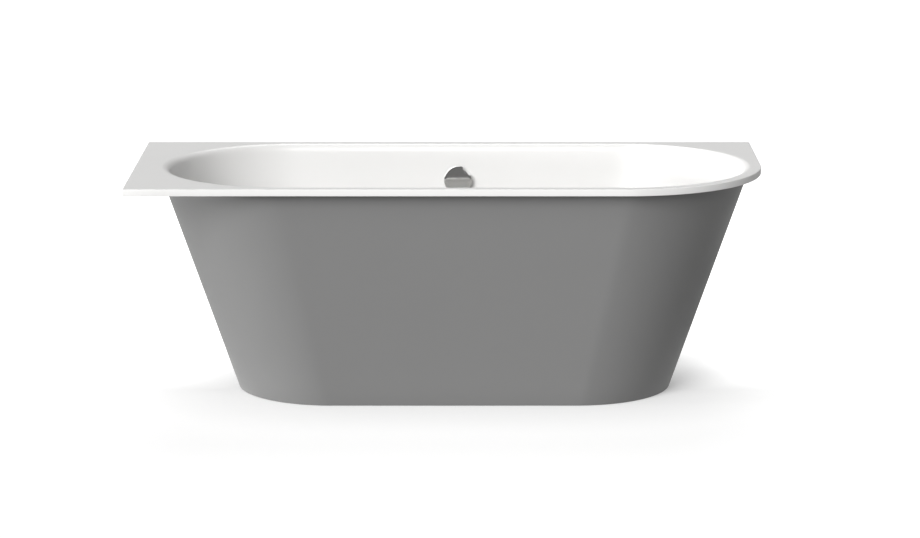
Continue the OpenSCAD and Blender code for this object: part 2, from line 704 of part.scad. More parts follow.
knob_wall = 3;
knob_bevel = 1.5;
knob_boss_w = 4;
knob_high = knob_gap + knob_h;
spindle_end = 2;
spindle_low = drum_high - drum_h - spindle_end;
notch_at = knob_r - notch_depth + notch_r;
module at_notch() rotate([0, 0, 45]) translate([notch_at, 0, 0]) children();
module overflow_knob() color("silver") at_overflow() difference() {
    translate([0, 0, knob_gap]) rotate_extrude($fn = 96) polygon([[0, 0], [knob_r, 0],
        [knob_r, knob_h - knob_bevel], [knob_r - knob_bevel, knob_h], [0, knob_h]]);
    at_notch() cylinder_up(notch_r, knob_gap - cut, knob_high + cut);
    difference() {
        cylinder_up(knob_r - knob_wall, knob_gap - cut, knob_high - knob_wall);
        at_notch() cylinder_up(notch_r + knob_wall, 0, knob_high);
        cylinder_up(spindle_r + knob_boss_w, 0, knob_high);
    }
    cylinder_up(spindle_r + fit, knob_gap - cut, knob_high - knob_wall);
}
module knob_spindle() color("gold") at_overflow() cylinder_up(spindle_r, spindle_low, knob_high - knob_wall);
module cable_drum() color("gold") at_overflow() {
    bore = spindle_r + drum_hold;
    ring(drum_r + drum_edge_w, bore, drum_high - drum_edge, drum_high);
    ring(drum_r, bore, drum_high - drum_h, drum_high);
    ring(drum_r + drum_edge_w, bore, drum_high - drum_h, drum_high - drum_h + drum_edge);
}

// Route behind the basin, in the upright plane across it: down along the slope of the back wall,
// round one bend and level to the waste
turn = 90 - side_slope;
run_y0 = overflow_y - over_hose_w * cos(side_slope);
run_z0 = overflow_z + over_hose_w * sin(side_slope);
bend_z = inlet_z + bend_r;
tangent_z = bend_z - bend_r * sin(side_slope);
fall_len = (run_z0 - tangent_z) / cos(side_slope);
tangent_y = run_y0 - fall_len * sin(side_slope);
bend_y = tangent_y - bend_r * cos(side_slope);

// Rings round the route from its low end to its high end, at an offset x beside the hose
function route_ring(r, x, y, z, lean, sides) = [
    for (i = [0:sides - 1]) let (a = i * 360 / sides)
        [fittings_x + x + r * cos(a), y + r * sin(a) * cos(lean), z + r * sin(a) * sin(lean)]];
function route_rings(r, x, high_end, low_end, sides) = concat(
    [route_ring(r, x, basin_y + low_end, inlet_z, -90, sides)],
    [for (i = [0:bend_steps]) let (lean = -90 + turn * i / bend_steps)
        route_ring(r, x, bend_y + bend_r * cos(lean), bend_z + bend_r * sin(lean), lean, sides)],
    [route_ring(r, x, run_y0 - high_end * sin(side_slope), run_z0 - high_end * cos(side_slope),
        -side_slope, sides)]);

// Pipe wall between an outer and an inner stack of rings
module pipe_wall_of(outer, inner) {
    n = len(outer[0]);
    m = len(outer);
    loop = concat(outer, [for (k = [m - 1:-1:0]) inner[k]]);
    sides = [for (k = [0:2 * m - 1]) for (i = [0:n - 1])
        let (a = k * n + i, b = k * n + (i + 1) % n, c = ((k + 1) % (2 * m) - k) * n)
        each [[a, a + c, b + c], [a, b + c, b]]];
    polyhedron([for (r = loop) each r], sides);
}
module overflow_hose() color("lightgray") pipe_wall_of(
    route_rings(hose_r, 0, over_hose_start, waste_hose_start, hose_sides),
    route_rings(hose_r - hose_wall, 0, over_hose_start, waste_hose_start, hose_sides));
module control_cable() color("dimgray")
    loft(route_rings(cable_r, gland_x, over_collar + meet, waste_collar + meet, cable_sides));

hose_nut_w = 5;
hose_nut_h = 19;
hose_nut_gap = 1;
module hose_nut(start) ring(hose_r + hose_nut_w, hose_r + loose, start + hose_nut_gap,
    start + hose_nut_gap + hose_nut_h);
module hose_nuts() color("whitesmoke") {
    at_overflow() translate([0, 0, over_hose_w]) rotate([90, 0, 0]) hose_nut(over_hose_start);
    at_waste() translate([0, 0, inlet_z]) rotate([-90, 0, 0]) hose_nut(waste_hose_start);
}

tub_shell();
apron();
base_board();
rail_left();
rail_right();
rail_screws();
bracket_left();
bracket_right();
bracket_screws();
foot_stud_front_left();
foot_stud_front_right();
foot_stud_back_left();
foot_stud_back_right();
foot_pad_front_left();
foot_pad_front_right();
foot_pad_back_left();
foot_pad_back_right();
foot_nuts();
wall_hook_left();
wall_hook_right();
wall_hook_side();
waste_ring();
waste_seal();
waste_body();
plug_cap();
plug_seal();
plug_stem();
lift_crank();
crank_pin();
trap_cup();
trap_nut();
trap_seal();
outlet_pipe();
outlet_nut();
overflow_ring();
overflow_seal();
overflow_body();
overflow_knob();
knob_spindle();
cable_drum();
overflow_hose();
hose_nuts();
control_cable();
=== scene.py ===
# %% [markdown]
# A corner bath in a plain studio.
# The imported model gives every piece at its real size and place, and this lesson gives the pieces
# their looks. Smooth skins are made again from the same rules as the model, with the fine edges
# and finishes that a workshop gives them, and everything stays where the model has it.

import json
from functools import partial
from math import acos, atan2, cos, dist, pi, radians, sin, sqrt, tan

import bmesh
import bpy
from mathutils import Matrix, Vector


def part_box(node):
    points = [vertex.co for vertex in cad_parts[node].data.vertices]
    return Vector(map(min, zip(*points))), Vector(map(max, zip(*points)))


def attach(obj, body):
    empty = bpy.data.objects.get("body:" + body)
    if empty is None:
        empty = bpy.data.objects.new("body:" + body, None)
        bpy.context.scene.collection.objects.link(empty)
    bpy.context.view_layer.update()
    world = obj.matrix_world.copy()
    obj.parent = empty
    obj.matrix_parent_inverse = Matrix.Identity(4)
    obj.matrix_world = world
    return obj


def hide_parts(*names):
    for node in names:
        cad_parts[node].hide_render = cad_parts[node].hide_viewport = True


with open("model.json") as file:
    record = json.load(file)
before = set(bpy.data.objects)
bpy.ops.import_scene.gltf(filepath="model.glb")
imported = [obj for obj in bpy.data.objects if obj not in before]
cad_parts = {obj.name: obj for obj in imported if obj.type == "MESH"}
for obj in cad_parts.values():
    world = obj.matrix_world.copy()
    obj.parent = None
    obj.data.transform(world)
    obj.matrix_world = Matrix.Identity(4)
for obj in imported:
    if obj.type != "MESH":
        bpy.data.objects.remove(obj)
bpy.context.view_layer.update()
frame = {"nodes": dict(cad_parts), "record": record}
MM = 0.001

# %% [markdown]
# The camera stands where the photo was taken from: almost nine metres in front of the bath, a
# little over two metres up, with a long lens. A long lens keeps upright edges upright. The slight
# shift slides the picture sideways without turning the camera.

# %% Camera
CAMERA_AT, CAMERA_DIP = (0.0443, -8.8498, 2.1656), 11.7786
LENS, SENSOR, SHIFT = 129.228, 36, -0.004946


def in_scene(name, data):
    made = bpy.data.objects.new(name, data)
    bpy.context.scene.collection.objects.link(made)
    return made


camera = in_scene("camera", bpy.data.cameras.new("camera"))
camera.location = CAMERA_AT
camera.rotation_euler = (radians(90 - CAMERA_DIP), 0, 0)
camera.data.lens, camera.data.sensor_width, camera.data.shift_x = LENS, SENSOR, SHIFT
bpy.context.scene.camera = camera
bpy.context.scene.view_settings.view_transform = "Standard"
print("camera at", CAMERA_AT)

# %% [markdown]
# Materials and geometry trees are both built from small nodes. A few helpers keep that readable:
# each adds one node, joins what it is given and returns the socket that comes out. A socket knows
# the tree it belongs to, so most helpers needn't be told.

# %% Node helpers
def feed(made, inputs):
    """Fills a node's inputs: a socket is linked, and a number or a colour is written in."""
    for key, value in inputs.items():
        if isinstance(value, bpy.types.NodeSocket):
            made.id_data.links.new(value, made.inputs[key])
        else:
            made.inputs[key].default_value = value


def node(tree, kind, inputs=None, **settings):
    made = tree.nodes.new(kind)
    for name, value in settings.items():
        setattr(made, name, value)
    feed(made, inputs or {})
    return made


def out(*what, **settings):
    return node(*what, **settings).outputs[0]


def calc(operation, *values):
    tree = next(value.id_data for value in values if isinstance(value, bpy.types.NodeSocket))
    return out(tree, "ShaderNodeMath", dict(enumerate(values)), operation=operation)


plus, minus, times = [partial(calc, operation) for operation in ("ADD", "SUBTRACT", "MULTIPLY")]


def between(value, low, high, new_low, new_high):
    inputs = dict(enumerate((value, low, high, new_low, new_high)))
    return out(value.id_data, "ShaderNodeMapRange", inputs)


def blend_colours(share, first, second):
    inputs = {0: share, 6: first, 7: second}
    return node(share.id_data, "ShaderNodeMix", inputs, data_type="RGBA").outputs[2]


def apart(value, kind="ShaderNodeSeparateXYZ"):
    """A place's x, y and z, or a colour's channels."""
    return node(value.id_data, kind, {0: value}).outputs


def where(tree):
    return tree.nodes.new("ShaderNodeTexCoord").outputs["Object"]


def noise(place, scale, detail=2.0, roughness=0.5, stretch=None):
    if stretch:
        place = out(place.id_data, "ShaderNodeMapping", {"Vector": place, "Scale": stretch})
    return out(place.id_data, "ShaderNodeTexNoise", {
        "Vector": place, "Scale": scale, "Detail": detail, "Roughness": roughness})


def new_tree(name, kind, inputs, outputs):
    """A node tree with named sockets; their kinds are Blender's names without NodeSocket."""
    tree = bpy.data.node_groups.new(name, kind)
    for way, sockets in (("INPUT", inputs), ("OUTPUT", outputs)):
        for socket, sort in sockets.items():
            tree.interface.new_socket(name=socket, in_out=way, socket_type="NodeSocket" + sort)
    return tree, tree.nodes.new("NodeGroupInput").outputs, tree.nodes.new("NodeGroupOutput")


# %% [markdown]
# A handled surface is never the same all over. This group is the wear that every material shares:
# a broad cloudiness, a fine grain and the places where soft smears of dust and cleaning have
# dulled the gloss. It puts out only masks, so each material decides what they do.

# %% Shared surface group
MASK_SCALES, MASKS = ("Cloud Scale", "Grain Scale", "Smear Scale"), ("Cloud", "Grain", "Smear")
SMEAR_STRETCH = (1.0, 0.35, 1.0)


def make_surface_group():
    inputs, outputs = [dict.fromkeys(names, "Float") for names in (MASK_SCALES, MASKS)]
    group, given, result = new_tree("handled_surface", "ShaderNodeTree", inputs, outputs)
    place = where(group)
    smear = noise(place, given["Smear Scale"], 6.0, 0.6, SMEAR_STRETCH)
    feed(result, {"Cloud": noise(place, given["Cloud Scale"], 3.0),
                  "Grain": noise(place, given["Grain Scale"]),
                  "Smear": between(smear, 0.45, 0.7, 0.0, 1.0)})
    return group


SURFACE = make_surface_group()


def start_material(name, fixed):
    """A material and its Principled shader; values that are the same all over go on the shader."""
    made = bpy.data.materials.new(name)
    made.use_nodes = True
    shader = made.node_tree.nodes["Principled BSDF"]
    feed(shader, fixed)
    return made, made.node_tree, shader


def surface_masks(tree, cloud, grain, smear):
    scales = dict(zip(MASK_SCALES, (cloud, grain, smear)))
    return node(tree, "ShaderNodeGroup", scales, node_tree=SURFACE).outputs


def bump(shader, height, depth, strength):
    """Raises a surface by a height map; depth is in millimetres."""
    inputs = {"Height": height, "Distance": depth * MM, "Strength": strength}
    feed(shader, {"Normal": out(shader.id_data, "ShaderNodeBump", inputs)})


print("shared masks:", ", ".join(MASKS))

# %% [markdown]
# The shell is vacuum-formed sanitary acrylic. It is white through and through, with a shine that
# is soft rather than mirror-like, and a very faint haze where it has been wiped. Almost nothing of
# this is colour: most of it is in the roughness. Its range is narrow on purpose, because the eye
# reads a wide one as stains.

# %% Shell acrylic
SHELL_TINTS = (0.798, 0.794, 0.783, 1), (0.810, 0.806, 0.796, 1)
SHELL_ROUGHNESS = 0.28, 0.30
FINISH = {}  # material slots and the material that each of them gets


def make_shell_acrylic():
    made, tree, shader = start_material("shell_acrylic", {"IOR": 1.49})
    cloud, grain, smear = surface_masks(tree, cloud=3.0, grain=420.0, smear=14.0)
    haze = plus(cloud, times(smear, 0.15))
    feed(shader, {"Base Color": blend_colours(between(cloud, 0.3, 0.7, 0.0, 1.0), *SHELL_TINTS),
                  "Roughness": between(haze, 0.2, 1.0, *SHELL_ROUGHNESS)})
    bump(shader, grain, 0.004, 0.3)
    return made


FINISH["shell_white"] = make_shell_acrylic()
print("shell roughness:", SHELL_ROUGHNESS)

# %% [markdown]
# The apron is the same acrylic in a mid grey, with a satin lacquer. Its grain is finer and its
# gloss lower, so it shows the studio only as a soft change of grey from end to end. A few paler
# specks keep the grey from looking like a flat fill.

# %% Apron lacquer
APRON_TONES = (0.184, 0.184, 0.183, 1), (0.194, 0.194, 0.193, 1)
APRON_SPECK = (0.26, 0.26, 0.26, 1)


def make_apron_lacquer():
    made, tree, shader = start_material("apron_lacquer", {"IOR": 1.46})
    cloud, grain, smear = surface_masks(tree, cloud=2.2, grain=900.0, smear=9.0)
    speck = between(grain, 0.62, 0.75, 0.0, 0.06)
    tone = blend_colours(speck, blend_colours(cloud, *APRON_TONES), APRON_SPECK)
    feed(shader, {"Base Color": tone, "Roughness": between(smear, 0.0, 1.0, 0.37, 0.44)})
    bump(shader, grain, 0.03, 0.6)
    return made


FINISH["apron_grey"] = make_apron_lacquer()
print("apron greys:", APRON_TONES[0][0], APRON_TONES[1][0])

# %% [markdown]
# Small fittings come in a few families: polished chrome, galvanised steel, turned brass, moulded
# plastic and rubber. One function makes a metal from its colour, its gloss and the direction of its
# polishing lines, and one makes a moulded plastic or rubber from its colour and its grain. Sheet
# steel shows zinc crystals: flat patches of slightly different grey, each with its own gloss.

# %% Metals and plastics
def make_metal(name, light, dark, rough, line_scale=(1.0, 1.0, 1.0), depth=0.02):
    made, tree, shader = start_material(name, {"Metallic": 1.0})
    cloud, fine, smear = surface_masks(tree, cloud=14.0, grain=900.0, smear=40.0)
    lines = noise(where(tree), 700.0, 2.0, 0.5, line_scale)
    polish = between(lines, 0.3, 0.7, rough * 0.7, rough * 1.2)
    feed(shader, {"Base Color": blend_colours(cloud, (*dark, 1), (*light, 1)),
                  "Roughness": plus(times(smear, rough * 0.8), polish)})
    bump(shader, plus(lines, times(fine, 0.5)), depth, 0.5)
    return made


def patches(tree, scale):
    """Cells of one random value each."""
    cells = node(tree, "ShaderNodeTexVoronoi", {"Vector": where(tree), "Scale": scale})
    return apart(cells.outputs["Color"], "ShaderNodeSeparateColor")[0]


def make_galvanised(name):
    made, tree, shader = start_material(name, {"Metallic": 1.0})
    _, fine, smear = surface_masks(tree, cloud=9.0, grain=700.0, smear=25.0)
    patch = patches(tree, 120.0)
    grey = blend_colours(patch, (0.46, 0.47, 0.49, 1), (0.66, 0.67, 0.69, 1))
    feed(shader, {"Base Color": blend_colours(smear, grey, (0.42, 0.42, 0.42, 1)),
                  "Roughness": plus(between(patch, 0.0, 1.0, 0.34, 0.5), times(smear, 0.12))})
    bump(shader, plus(patch, fine), 0.03, 0.5)
    return made


def make_moulded(name, light, dark, rough, grain=500.0, depth=0.04):
    made, tree, shader = start_material(name, {"IOR": 1.47})
    cloud, fine, smear = surface_masks(tree, cloud=11.0, grain=grain, smear=30.0)
    feed(shader, {"Base Color": blend_colours(cloud, (*dark, 1), (*light, 1)),
                  "Roughness": plus(times(smear, 0.12), rough)})
    bump(shader, fine, depth, 0.6)
    return made


def greys(light, dark):
    return (light,) * 3, (dark,) * 3


FINISH |= {
    "chrome": make_metal("polished_chrome", (0.78, 0.78, 0.79), (0.73, 0.73, 0.74), 0.06,
                         depth=0.003),
    "cover_chrome": make_metal("cover_chrome", (0.80, 0.795, 0.78), (0.76, 0.755, 0.74), 0.03,
                               depth=0.003),
    "zinc_steel": make_galvanised("galvanised_sheet"),
    "zinc_screws": make_metal("zinc_plate", (0.72, 0.71, 0.68), (0.6, 0.6, 0.58), 0.3),
    "brass": make_metal("turned_brass", (0.78, 0.6, 0.3), (0.68, 0.5, 0.23), 0.22, (1.0, 1.0, 6.0)),
    "pipe_plastic": make_moulded("white_moulding", (0.83, 0.83, 0.81), (0.78, 0.78, 0.76), 0.36),
    "outlet_grey": make_moulded("grey_pipe", (0.36, 0.37, 0.38), (0.31, 0.32, 0.33), 0.33),
    "hose_plastic": make_moulded("hose_plastic", (0.8, 0.8, 0.78), (0.74, 0.74, 0.72), 0.42),
    "pad_plastic": make_moulded("black_moulding", (0.045, 0.045, 0.048), (0.03, 0.03, 0.032), 0.5,
                                depth=0.08),
    "seal_rubber": make_moulded("seal_rubber", *greys(0.035, 0.022), 0.7, 800.0, 0.05),
    "cable_sheath": make_moulded("cable_sheath", *greys(0.05, 0.03), 0.4),
}
print("materials:", len(bpy.data.materials))

# %% [markdown]
# The board under the floor is raw chipboard: flakes of wood pressed flat, lighter and darker, with
# a rough cut edge. Voronoi cells look like the flakes, and a second, finer set breaks them up.

# %% Chipboard
def make_chipboard():
    made, tree, shader = start_material("chipboard", {"IOR": 1.4})
    _, fine, smear = surface_masks(tree, cloud=6.0, grain=900.0, smear=20.0)
    flake, chip = patches(tree, 180.0), patches(tree, 520.0)
    wood = blend_colours(flake, (0.36, 0.25, 0.14, 1), (0.62, 0.47, 0.3, 1))
    wood = blend_colours(times(chip, 0.5), wood, (0.5, 0.36, 0.21, 1))
    feed(shader, {"Base Color": blend_colours(times(smear, 0.3), wood, (0.42, 0.33, 0.22, 1)),
                  "Roughness": between(chip, 0.0, 1.0, 0.62, 0.8)})
    bump(shader, plus(flake, plus(chip, fine)), 0.25, 0.6)
    return made


FINISH["board_wood"] = make_chipboard()
print("finishes:", sorted(FINISH))

# %% [markdown]
# Most skins here are a stack of closed outlines, joined like the hoops of a barrel. When the last
# outline is joined to the first again, the result is a closed wall with a hole through it, which is
# just what a bath with a drain is. Normals are worked out afterwards, so the order of the outlines
# doesn't matter. A finished piece is handed to its body and stands for one node of the model.

# %% Mesh helpers
WELD = 0.01 * MM
SLOT_OF = {part["node"]: part["material_slot"] for part in frame["record"]["subparts"]}


def at(x, y, z):
    return Matrix.Translation((x, y, z))


def turn(angle, axis):
    return Matrix.Rotation(angle, 4, axis)


def shade(mesh, sharp=35):
    """Smooth shading, but crisp where faces meet at more than this many degrees."""
    mesh.shade_smooth()
    mesh.set_sharp_from_angle(angle=radians(sharp))


def rework(mesh, *steps):
    """Lets each step change a mesh in turn."""
    work = bmesh.new()
    work.from_mesh(mesh)
    for step in steps:
        step(work)
    work.to_mesh(mesh)
    work.free()
    return mesh


def weld(mesh, sharp=35):
    """Merges doubles and turns all faces outwards."""
    rework(mesh, lambda work: bmesh.ops.remove_doubles(work, verts=work.verts, dist=WELD),
           lambda work: bmesh.ops.recalc_face_normals(work, faces=work.faces))
    shade(mesh, sharp)


def skin(name, rings, round_again=False, cap=False):
    """A piece made of closed outlines that are joined in their order."""
    count = len(rings[0])
    faces = []
    for k in range(len(rings) if round_again else len(rings) - 1):
        low, high = k * count, ((k + 1) % len(rings)) * count
        for i in range(count):
            j = (i + 1) % count
            faces.append((low + i, low + j, high + j, high + i))
    if cap:
        faces += [tuple(range(count)), tuple((len(rings) - 1) * count + i for i in range(count))]
    mesh = bpy.data.meshes.new(name)
    mesh.from_pydata([point for ring in rings for point in ring], [], faces)
    weld(mesh)
    return in_scene(name, mesh)


def bake_modifiers(made):
    """Turns a piece with modifiers into a plain mesh."""
    bpy.context.view_layer.update()
    seen = made.evaluated_get(bpy.context.evaluated_depsgraph_get())
    mesh = bpy.data.meshes.new_from_object(seen)
    made.modifiers.clear()
    old, made.data = made.data, mesh
    bpy.data.meshes.remove(old)
    mesh.name = made.name
    return made


def soften(made, width, segments, limit):
    """Breaks the edges that are sharper than the limit in degrees."""
    bevel = made.modifiers.new("edges", "BEVEL")
    bevel.width, bevel.segments, bevel.limit_method = width, segments, "ANGLE"
    bevel.angle_limit = radians(limit)


def join(made, other):
    """Adds another piece's mesh to a piece."""
    shade(rework(made.data, lambda work: work.from_mesh(other.data)))
    bpy.data.objects.remove(other)
    return made


def dress(made, node_name):
    """Gives a piece the finish and the slot of the node that it stands for."""
    slot = SLOT_OF[node_name]
    made.data.materials.clear()
    made.data.materials.append(FINISH[slot])


def set_down(made, body, node_name):
    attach(made, body)
    dress(made, node_name)
    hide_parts(node_name)
    print(made.name, len(made.data.polygons), "faces")


# %% [markdown]
# Seen in a cut, each wall of the basin is a rounded edge, a straight slope and a fillet into the
# floor. The two backrests and the two long sides have their own slopes and fillets, so at each
# depth the outline is an oval: two half-round ends whose radius is the half width at that depth.
# The edge is rounder here than in the model, so the oval starts a little further out, and the
# straight slopes stay where the model has them.

# %% Basin rules
shell_low, shell_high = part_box("tub_shell")
RIM_TOP = shell_high.z
DECK_LEFT, DECK_RIGHT, DECK_FRONT, DECK_BACK = 81 * MM, 37 * MM, 38 * MM, 38 * MM
SHELL_WALL, LIP_DROP = 5 * MM, 18 * MM
BASIN_DEPTH, DRAIN_FALL = 430 * MM, 4 * MM
MODEL_EDGE, EDGE_RADIUS = 12 * MM, 26 * MM
END_SLOPE, SIDE_SLOPE = radians(24), radians(10)
END_FILLET, SIDE_FILLET = 150 * MM, 100 * MM
LENGTH_GROWTH, WIDTH_GROWTH = [
    (EDGE_RADIUS - MODEL_EDGE) * (cos(slope) - (1 - sin(slope)) * tan(slope))
    for slope in (END_SLOPE, SIDE_SLOPE)]
HALF_LENGTH = (shell_high.x - shell_low.x - DECK_LEFT - DECK_RIGHT) / 2 + LENGTH_GROWTH
HALF_WIDTH = (shell_high.y - shell_low.y - DECK_FRONT - DECK_BACK) / 2 + WIDTH_GROWTH
BASIN_X = (DECK_LEFT - DECK_RIGHT) / 2
ARC_STEPS, STRAIGHT_STEPS = 40, 24


def slope_run(depth, edge, slope):
    return edge * cos(slope) + (depth - edge * (1 - sin(slope))) * tan(slope)


def wall_run(depth, edge, fillet, slope, full):
    """How far the wall has moved in from the rim's opening at a depth."""
    if depth < edge * (1 - sin(slope)):
        return edge * sin(acos(1 - depth / edge))
    if depth > full - fillet * (1 - sin(slope)):
        floor = slope_run(full - fillet, edge, slope) + fillet / cos(slope)
        return floor - sqrt(max(0.0, fillet ** 2 - (depth - full + fillet) ** 2))
    return slope_run(depth, edge, slope)


def round_the_oval(end, line):
    """Points of both ends from an angle, and of both long sides from a share of their length."""
    points = []
    for side in (1, -1):
        points += [end(side, i * pi / 2 / ARC_STEPS) for i in range(-ARC_STEPS, ARC_STEPS + 1)]
        points += [line(side, side * (1 - 2 * k / STRAIGHT_STEPS)) for k in range(1, STRAIGHT_STEPS)]
    return points


def oval(half_length, half_width, z, x=BASIN_X):
    straight = half_length - half_width
    return round_the_oval(
        lambda side, t: (x + side * (straight + half_width * cos(t)), side * half_width * sin(t), z),
        lambda side, share: (x + straight * share, side * half_width, z))


def basin_ring(depth, wall):
    """The basin's inside, or with a wall its outside, at a depth below the deck's face there."""
    full, edge = BASIN_DEPTH + (DRAIN_FALL if wall else 0), EDGE_RADIUS - wall
    half_length = HALF_LENGTH - wall_run(depth, edge, END_FILLET + wall, END_SLOPE, full)
    half_width = HALF_WIDTH - wall_run(depth, edge, SIDE_FILLET + wall, SIDE_SLOPE, full)
    return oval(half_length, half_width, RIM_TOP - wall - depth)


print("basin at the rim:", round(2 * HALF_LENGTH, 3), "x", round(2 * HALF_WIDTH, 3))

# %% [markdown]
# The rim's own outline is a rectangle with one big rounded corner. Its points are found by looking
# outwards from the centres of the oval's ends, so each point of the rim faces its partner on the
# oval and the deck's long faces never cross. The three square corners get a tiny radius, because a
# formed sheet can't be sharper than that.

# %% Rim outline
CORNER_RADIUS = 380 * MM
PLAN_RADIUS, LEAST_RADIUS, CORNER_POINTS = 1.2 * MM, 0.3 * MM, 5
SQUARE_CORNERS = [(1, 1), (-1, 1), (-1, -1)]


def look_out(centre, direction, inset):
    """Where a ray from a centre meets the rim's outline, drawn in by inset."""
    reach = []
    for axis, low, high in ((0, shell_low.x + inset, shell_high.x - inset),
                            (1, shell_low.y + inset, shell_high.y - inset)):
        if abs(direction[axis]) > 1e-9:
            wall = high if direction[axis] > 0 else low
            reach.append((wall - centre[axis]) / direction[axis])
    hit = [centre[k] + min(reach) * direction[k] for k in (0, 1)]
    round_x, round_y = shell_high.x - CORNER_RADIUS, shell_low.y + CORNER_RADIUS
    if hit[0] > round_x and hit[1] < round_y:
        away = (centre[0] - round_x, centre[1] - round_y)
        along = away[0] * direction[0] + away[1] * direction[1]
        left = away[0] ** 2 + away[1] ** 2 - (CORNER_RADIUS - inset) ** 2
        far = -along + sqrt(along ** 2 - left)
        hit = [centre[k] + far * direction[k] for k in (0, 1)]
    return hit


def rim_plain(inset):
    straight = HALF_LENGTH - HALF_WIDTH

    def end(side, t):
        return look_out((BASIN_X + side * straight, 0), (side * cos(t), side * sin(t)), inset)

    return round_the_oval(
        end, lambda side, share: [BASIN_X + straight * share, side * (shell_high.y - inset)])


plain = rim_plain(0)
rim_corners = [(sx * shell_high.x, sy * shell_high.y) for sx, sy in SQUARE_CORNERS]
nearest = [min(range(len(plain)), key=lambda i: dist(plain[i], corner)) for corner in rim_corners]


def rim_ring(inset, z):
    points = rim_plain(inset)
    radius = max(PLAN_RADIUS - inset, LEAST_RADIUS)
    for (sx, sy), middle in zip(SQUARE_CORNERS, nearest):
        start = atan2(sy, sx) - pi / 4
        for k in range(CORNER_POINTS):
            t = start + pi / 2 * k / (CORNER_POINTS - 1)
            points[middle + k - CORNER_POINTS // 2] = [
                sx * (shell_high.x - inset - radius) + radius * cos(t),
                sy * (shell_high.y - inset - radius) + radius * sin(t)]
    return [(x, y, z) for x, y in points]


print("rim points:", len(plain), "square corners at", nearest)

# %% [markdown]
# The shell goes round once: up the lip, over the deck, down into the basin, through the drain hole
# and back along the underside. Narrow faces beside each rounded edge keep the flat deck flat when
# it is shaded smooth.

# %% Shell outlines
TOP_ROUND, LOW_ROUND, FLAT_BAND = 1.8 * MM, 0.8 * MM, 4 * MM
DRAIN_X, DRAIN_RADIUS, DRAIN_SEAT, SEAT_STRAIGHT = 26 * MM, 26 * MM, 45 * MM, 1 * MM
STEEP = pi / 2 - SIDE_SLOPE
FLOOR_Z, FLOOR_RINGS = RIM_TOP - BASIN_DEPTH - DRAIN_FALL, 8


def quarter(count, radius, angle=pi / 2):
    """Steps of an arc as pairs: how far in, how far down."""
    turns = [angle * k / count for k in range(count + 1)]
    return [(radius * sin(t), radius * (1 - cos(t))) for t in turns]


def wall_rings(wall, count, mid_count, low_count):
    """The basin's wall, inside or outside: rings on its edge, its slope and its fillet."""
    full, fillet = BASIN_DEPTH + (DRAIN_FALL if wall else 0), END_FILLET + wall
    first, last = EDGE_RADIUS, full - fillet * (1 - sin(SIDE_SLOPE))
    depths = [down for _, down in quarter(count, EDGE_RADIUS - wall, STEEP)]
    depths += [first + (last - first) * k / mid_count for k in range(1, mid_count)]
    depths += [full - down for _, down in reversed(quarter(low_count, fillet, STEEP))]
    return [basin_ring(depth, wall) for depth in depths]


def shell_rings():
    low = RIM_TOP - LIP_DROP
    rings = [rim_ring(SHELL_WALL, RIM_TOP - SHELL_WALL), rim_ring(SHELL_WALL, low)]
    rings += [rim_ring(LOW_ROUND - away, low + drop) for away, drop in quarter(3, LOW_ROUND)]
    rings += [rim_ring(down, RIM_TOP - TOP_ROUND + away) for away, down in quarter(6, TOP_ROUND)]
    rings += [rim_ring(TOP_ROUND + FLAT_BAND, RIM_TOP),
              oval(HALF_LENGTH + FLAT_BAND, HALF_WIDTH + FLAT_BAND, RIM_TOP)]
    rings += wall_rings(0, 12, 10, 20)
    floor_edge, seat = rings[-1], oval(DRAIN_SEAT + SEAT_STRAIGHT, DRAIN_SEAT, FLOOR_Z, DRAIN_X)
    for k in range(1, FLOOR_RINGS + 1):
        share = k / FLOOR_RINGS
        rings.append([tuple(Vector(a).lerp(Vector(b), share)) for a, b in zip(floor_edge, seat)])
    shrink = DRAIN_RADIUS / DRAIN_SEAT
    rings += [[(DRAIN_X + (x - DRAIN_X) * shrink, y * shrink, z) for x, y, _ in seat]
              for z in (FLOOR_Z, FLOOR_Z - SHELL_WALL)]
    return rings + wall_rings(SHELL_WALL, 5, 6, 14)[::-1]


bath_shell = skin("bath_shell", shell_rings(), round_again=True)
print("shell outlines give", len(bath_shell.data.vertices), "points")

# %% [markdown]
# Holes are cut as on the real piece: a rod stands where the drill would go, and a Boolean takes it
# away. The overflow's hole is square to the basin's back wall, so the rod leans with the wall.

# %% Drilling the shell
OVERFLOW_DEPTH, OVERFLOW_RADIUS, OVERFLOW_BIT = 98 * MM, 26 * MM, 40 * MM
overflow_y = HALF_WIDTH - slope_run(OVERFLOW_DEPTH, EDGE_RADIUS, SIDE_SLOPE)
# Turns a shape that is drawn round Z so that its Z points out of the basin's back wall
overflow_place = at(DRAIN_X, overflow_y, RIM_TOP - OVERFLOW_DEPTH) @ turn(pi / 2 - SIDE_SLOPE, "X")


def solids(name, draw, places, **shape):
    """A mesh of simple solids of one kind, one at each place."""
    steps = [partial(draw, matrix=place, **shape) for place in places]
    return rework(bpy.data.meshes.new(name), *steps)


def cut(made, tool_mesh, use_self=False):
    tool = in_scene("cutter", tool_mesh)
    hole = made.modifiers.new("cut", "BOOLEAN")
    hole.operation, hole.solver, hole.object, hole.use_self = "DIFFERENCE", "EXACT", tool, use_self
    bake_modifiers(made)
    bpy.data.objects.remove(tool)
    bpy.data.meshes.remove(tool_mesh)


def drill(made, bits, crisp=False):
    """Cuts round holes; each bit is a place whose Z is the hole's axis, a radius and a length."""
    places = [place @ Matrix.Diagonal((r, r, length, 1)) for place, r, length in bits]
    cut(made, solids("bits", bmesh.ops.create_cone, places, cap_ends=True, segments=64,
                     radius1=1, radius2=1, depth=1))
    if crisp:
        shade(made.data)


drill(bath_shell, [(overflow_place, OVERFLOW_RADIUS, OVERFLOW_BIT)])
set_down(bath_shell, "bath", "tub_shell")

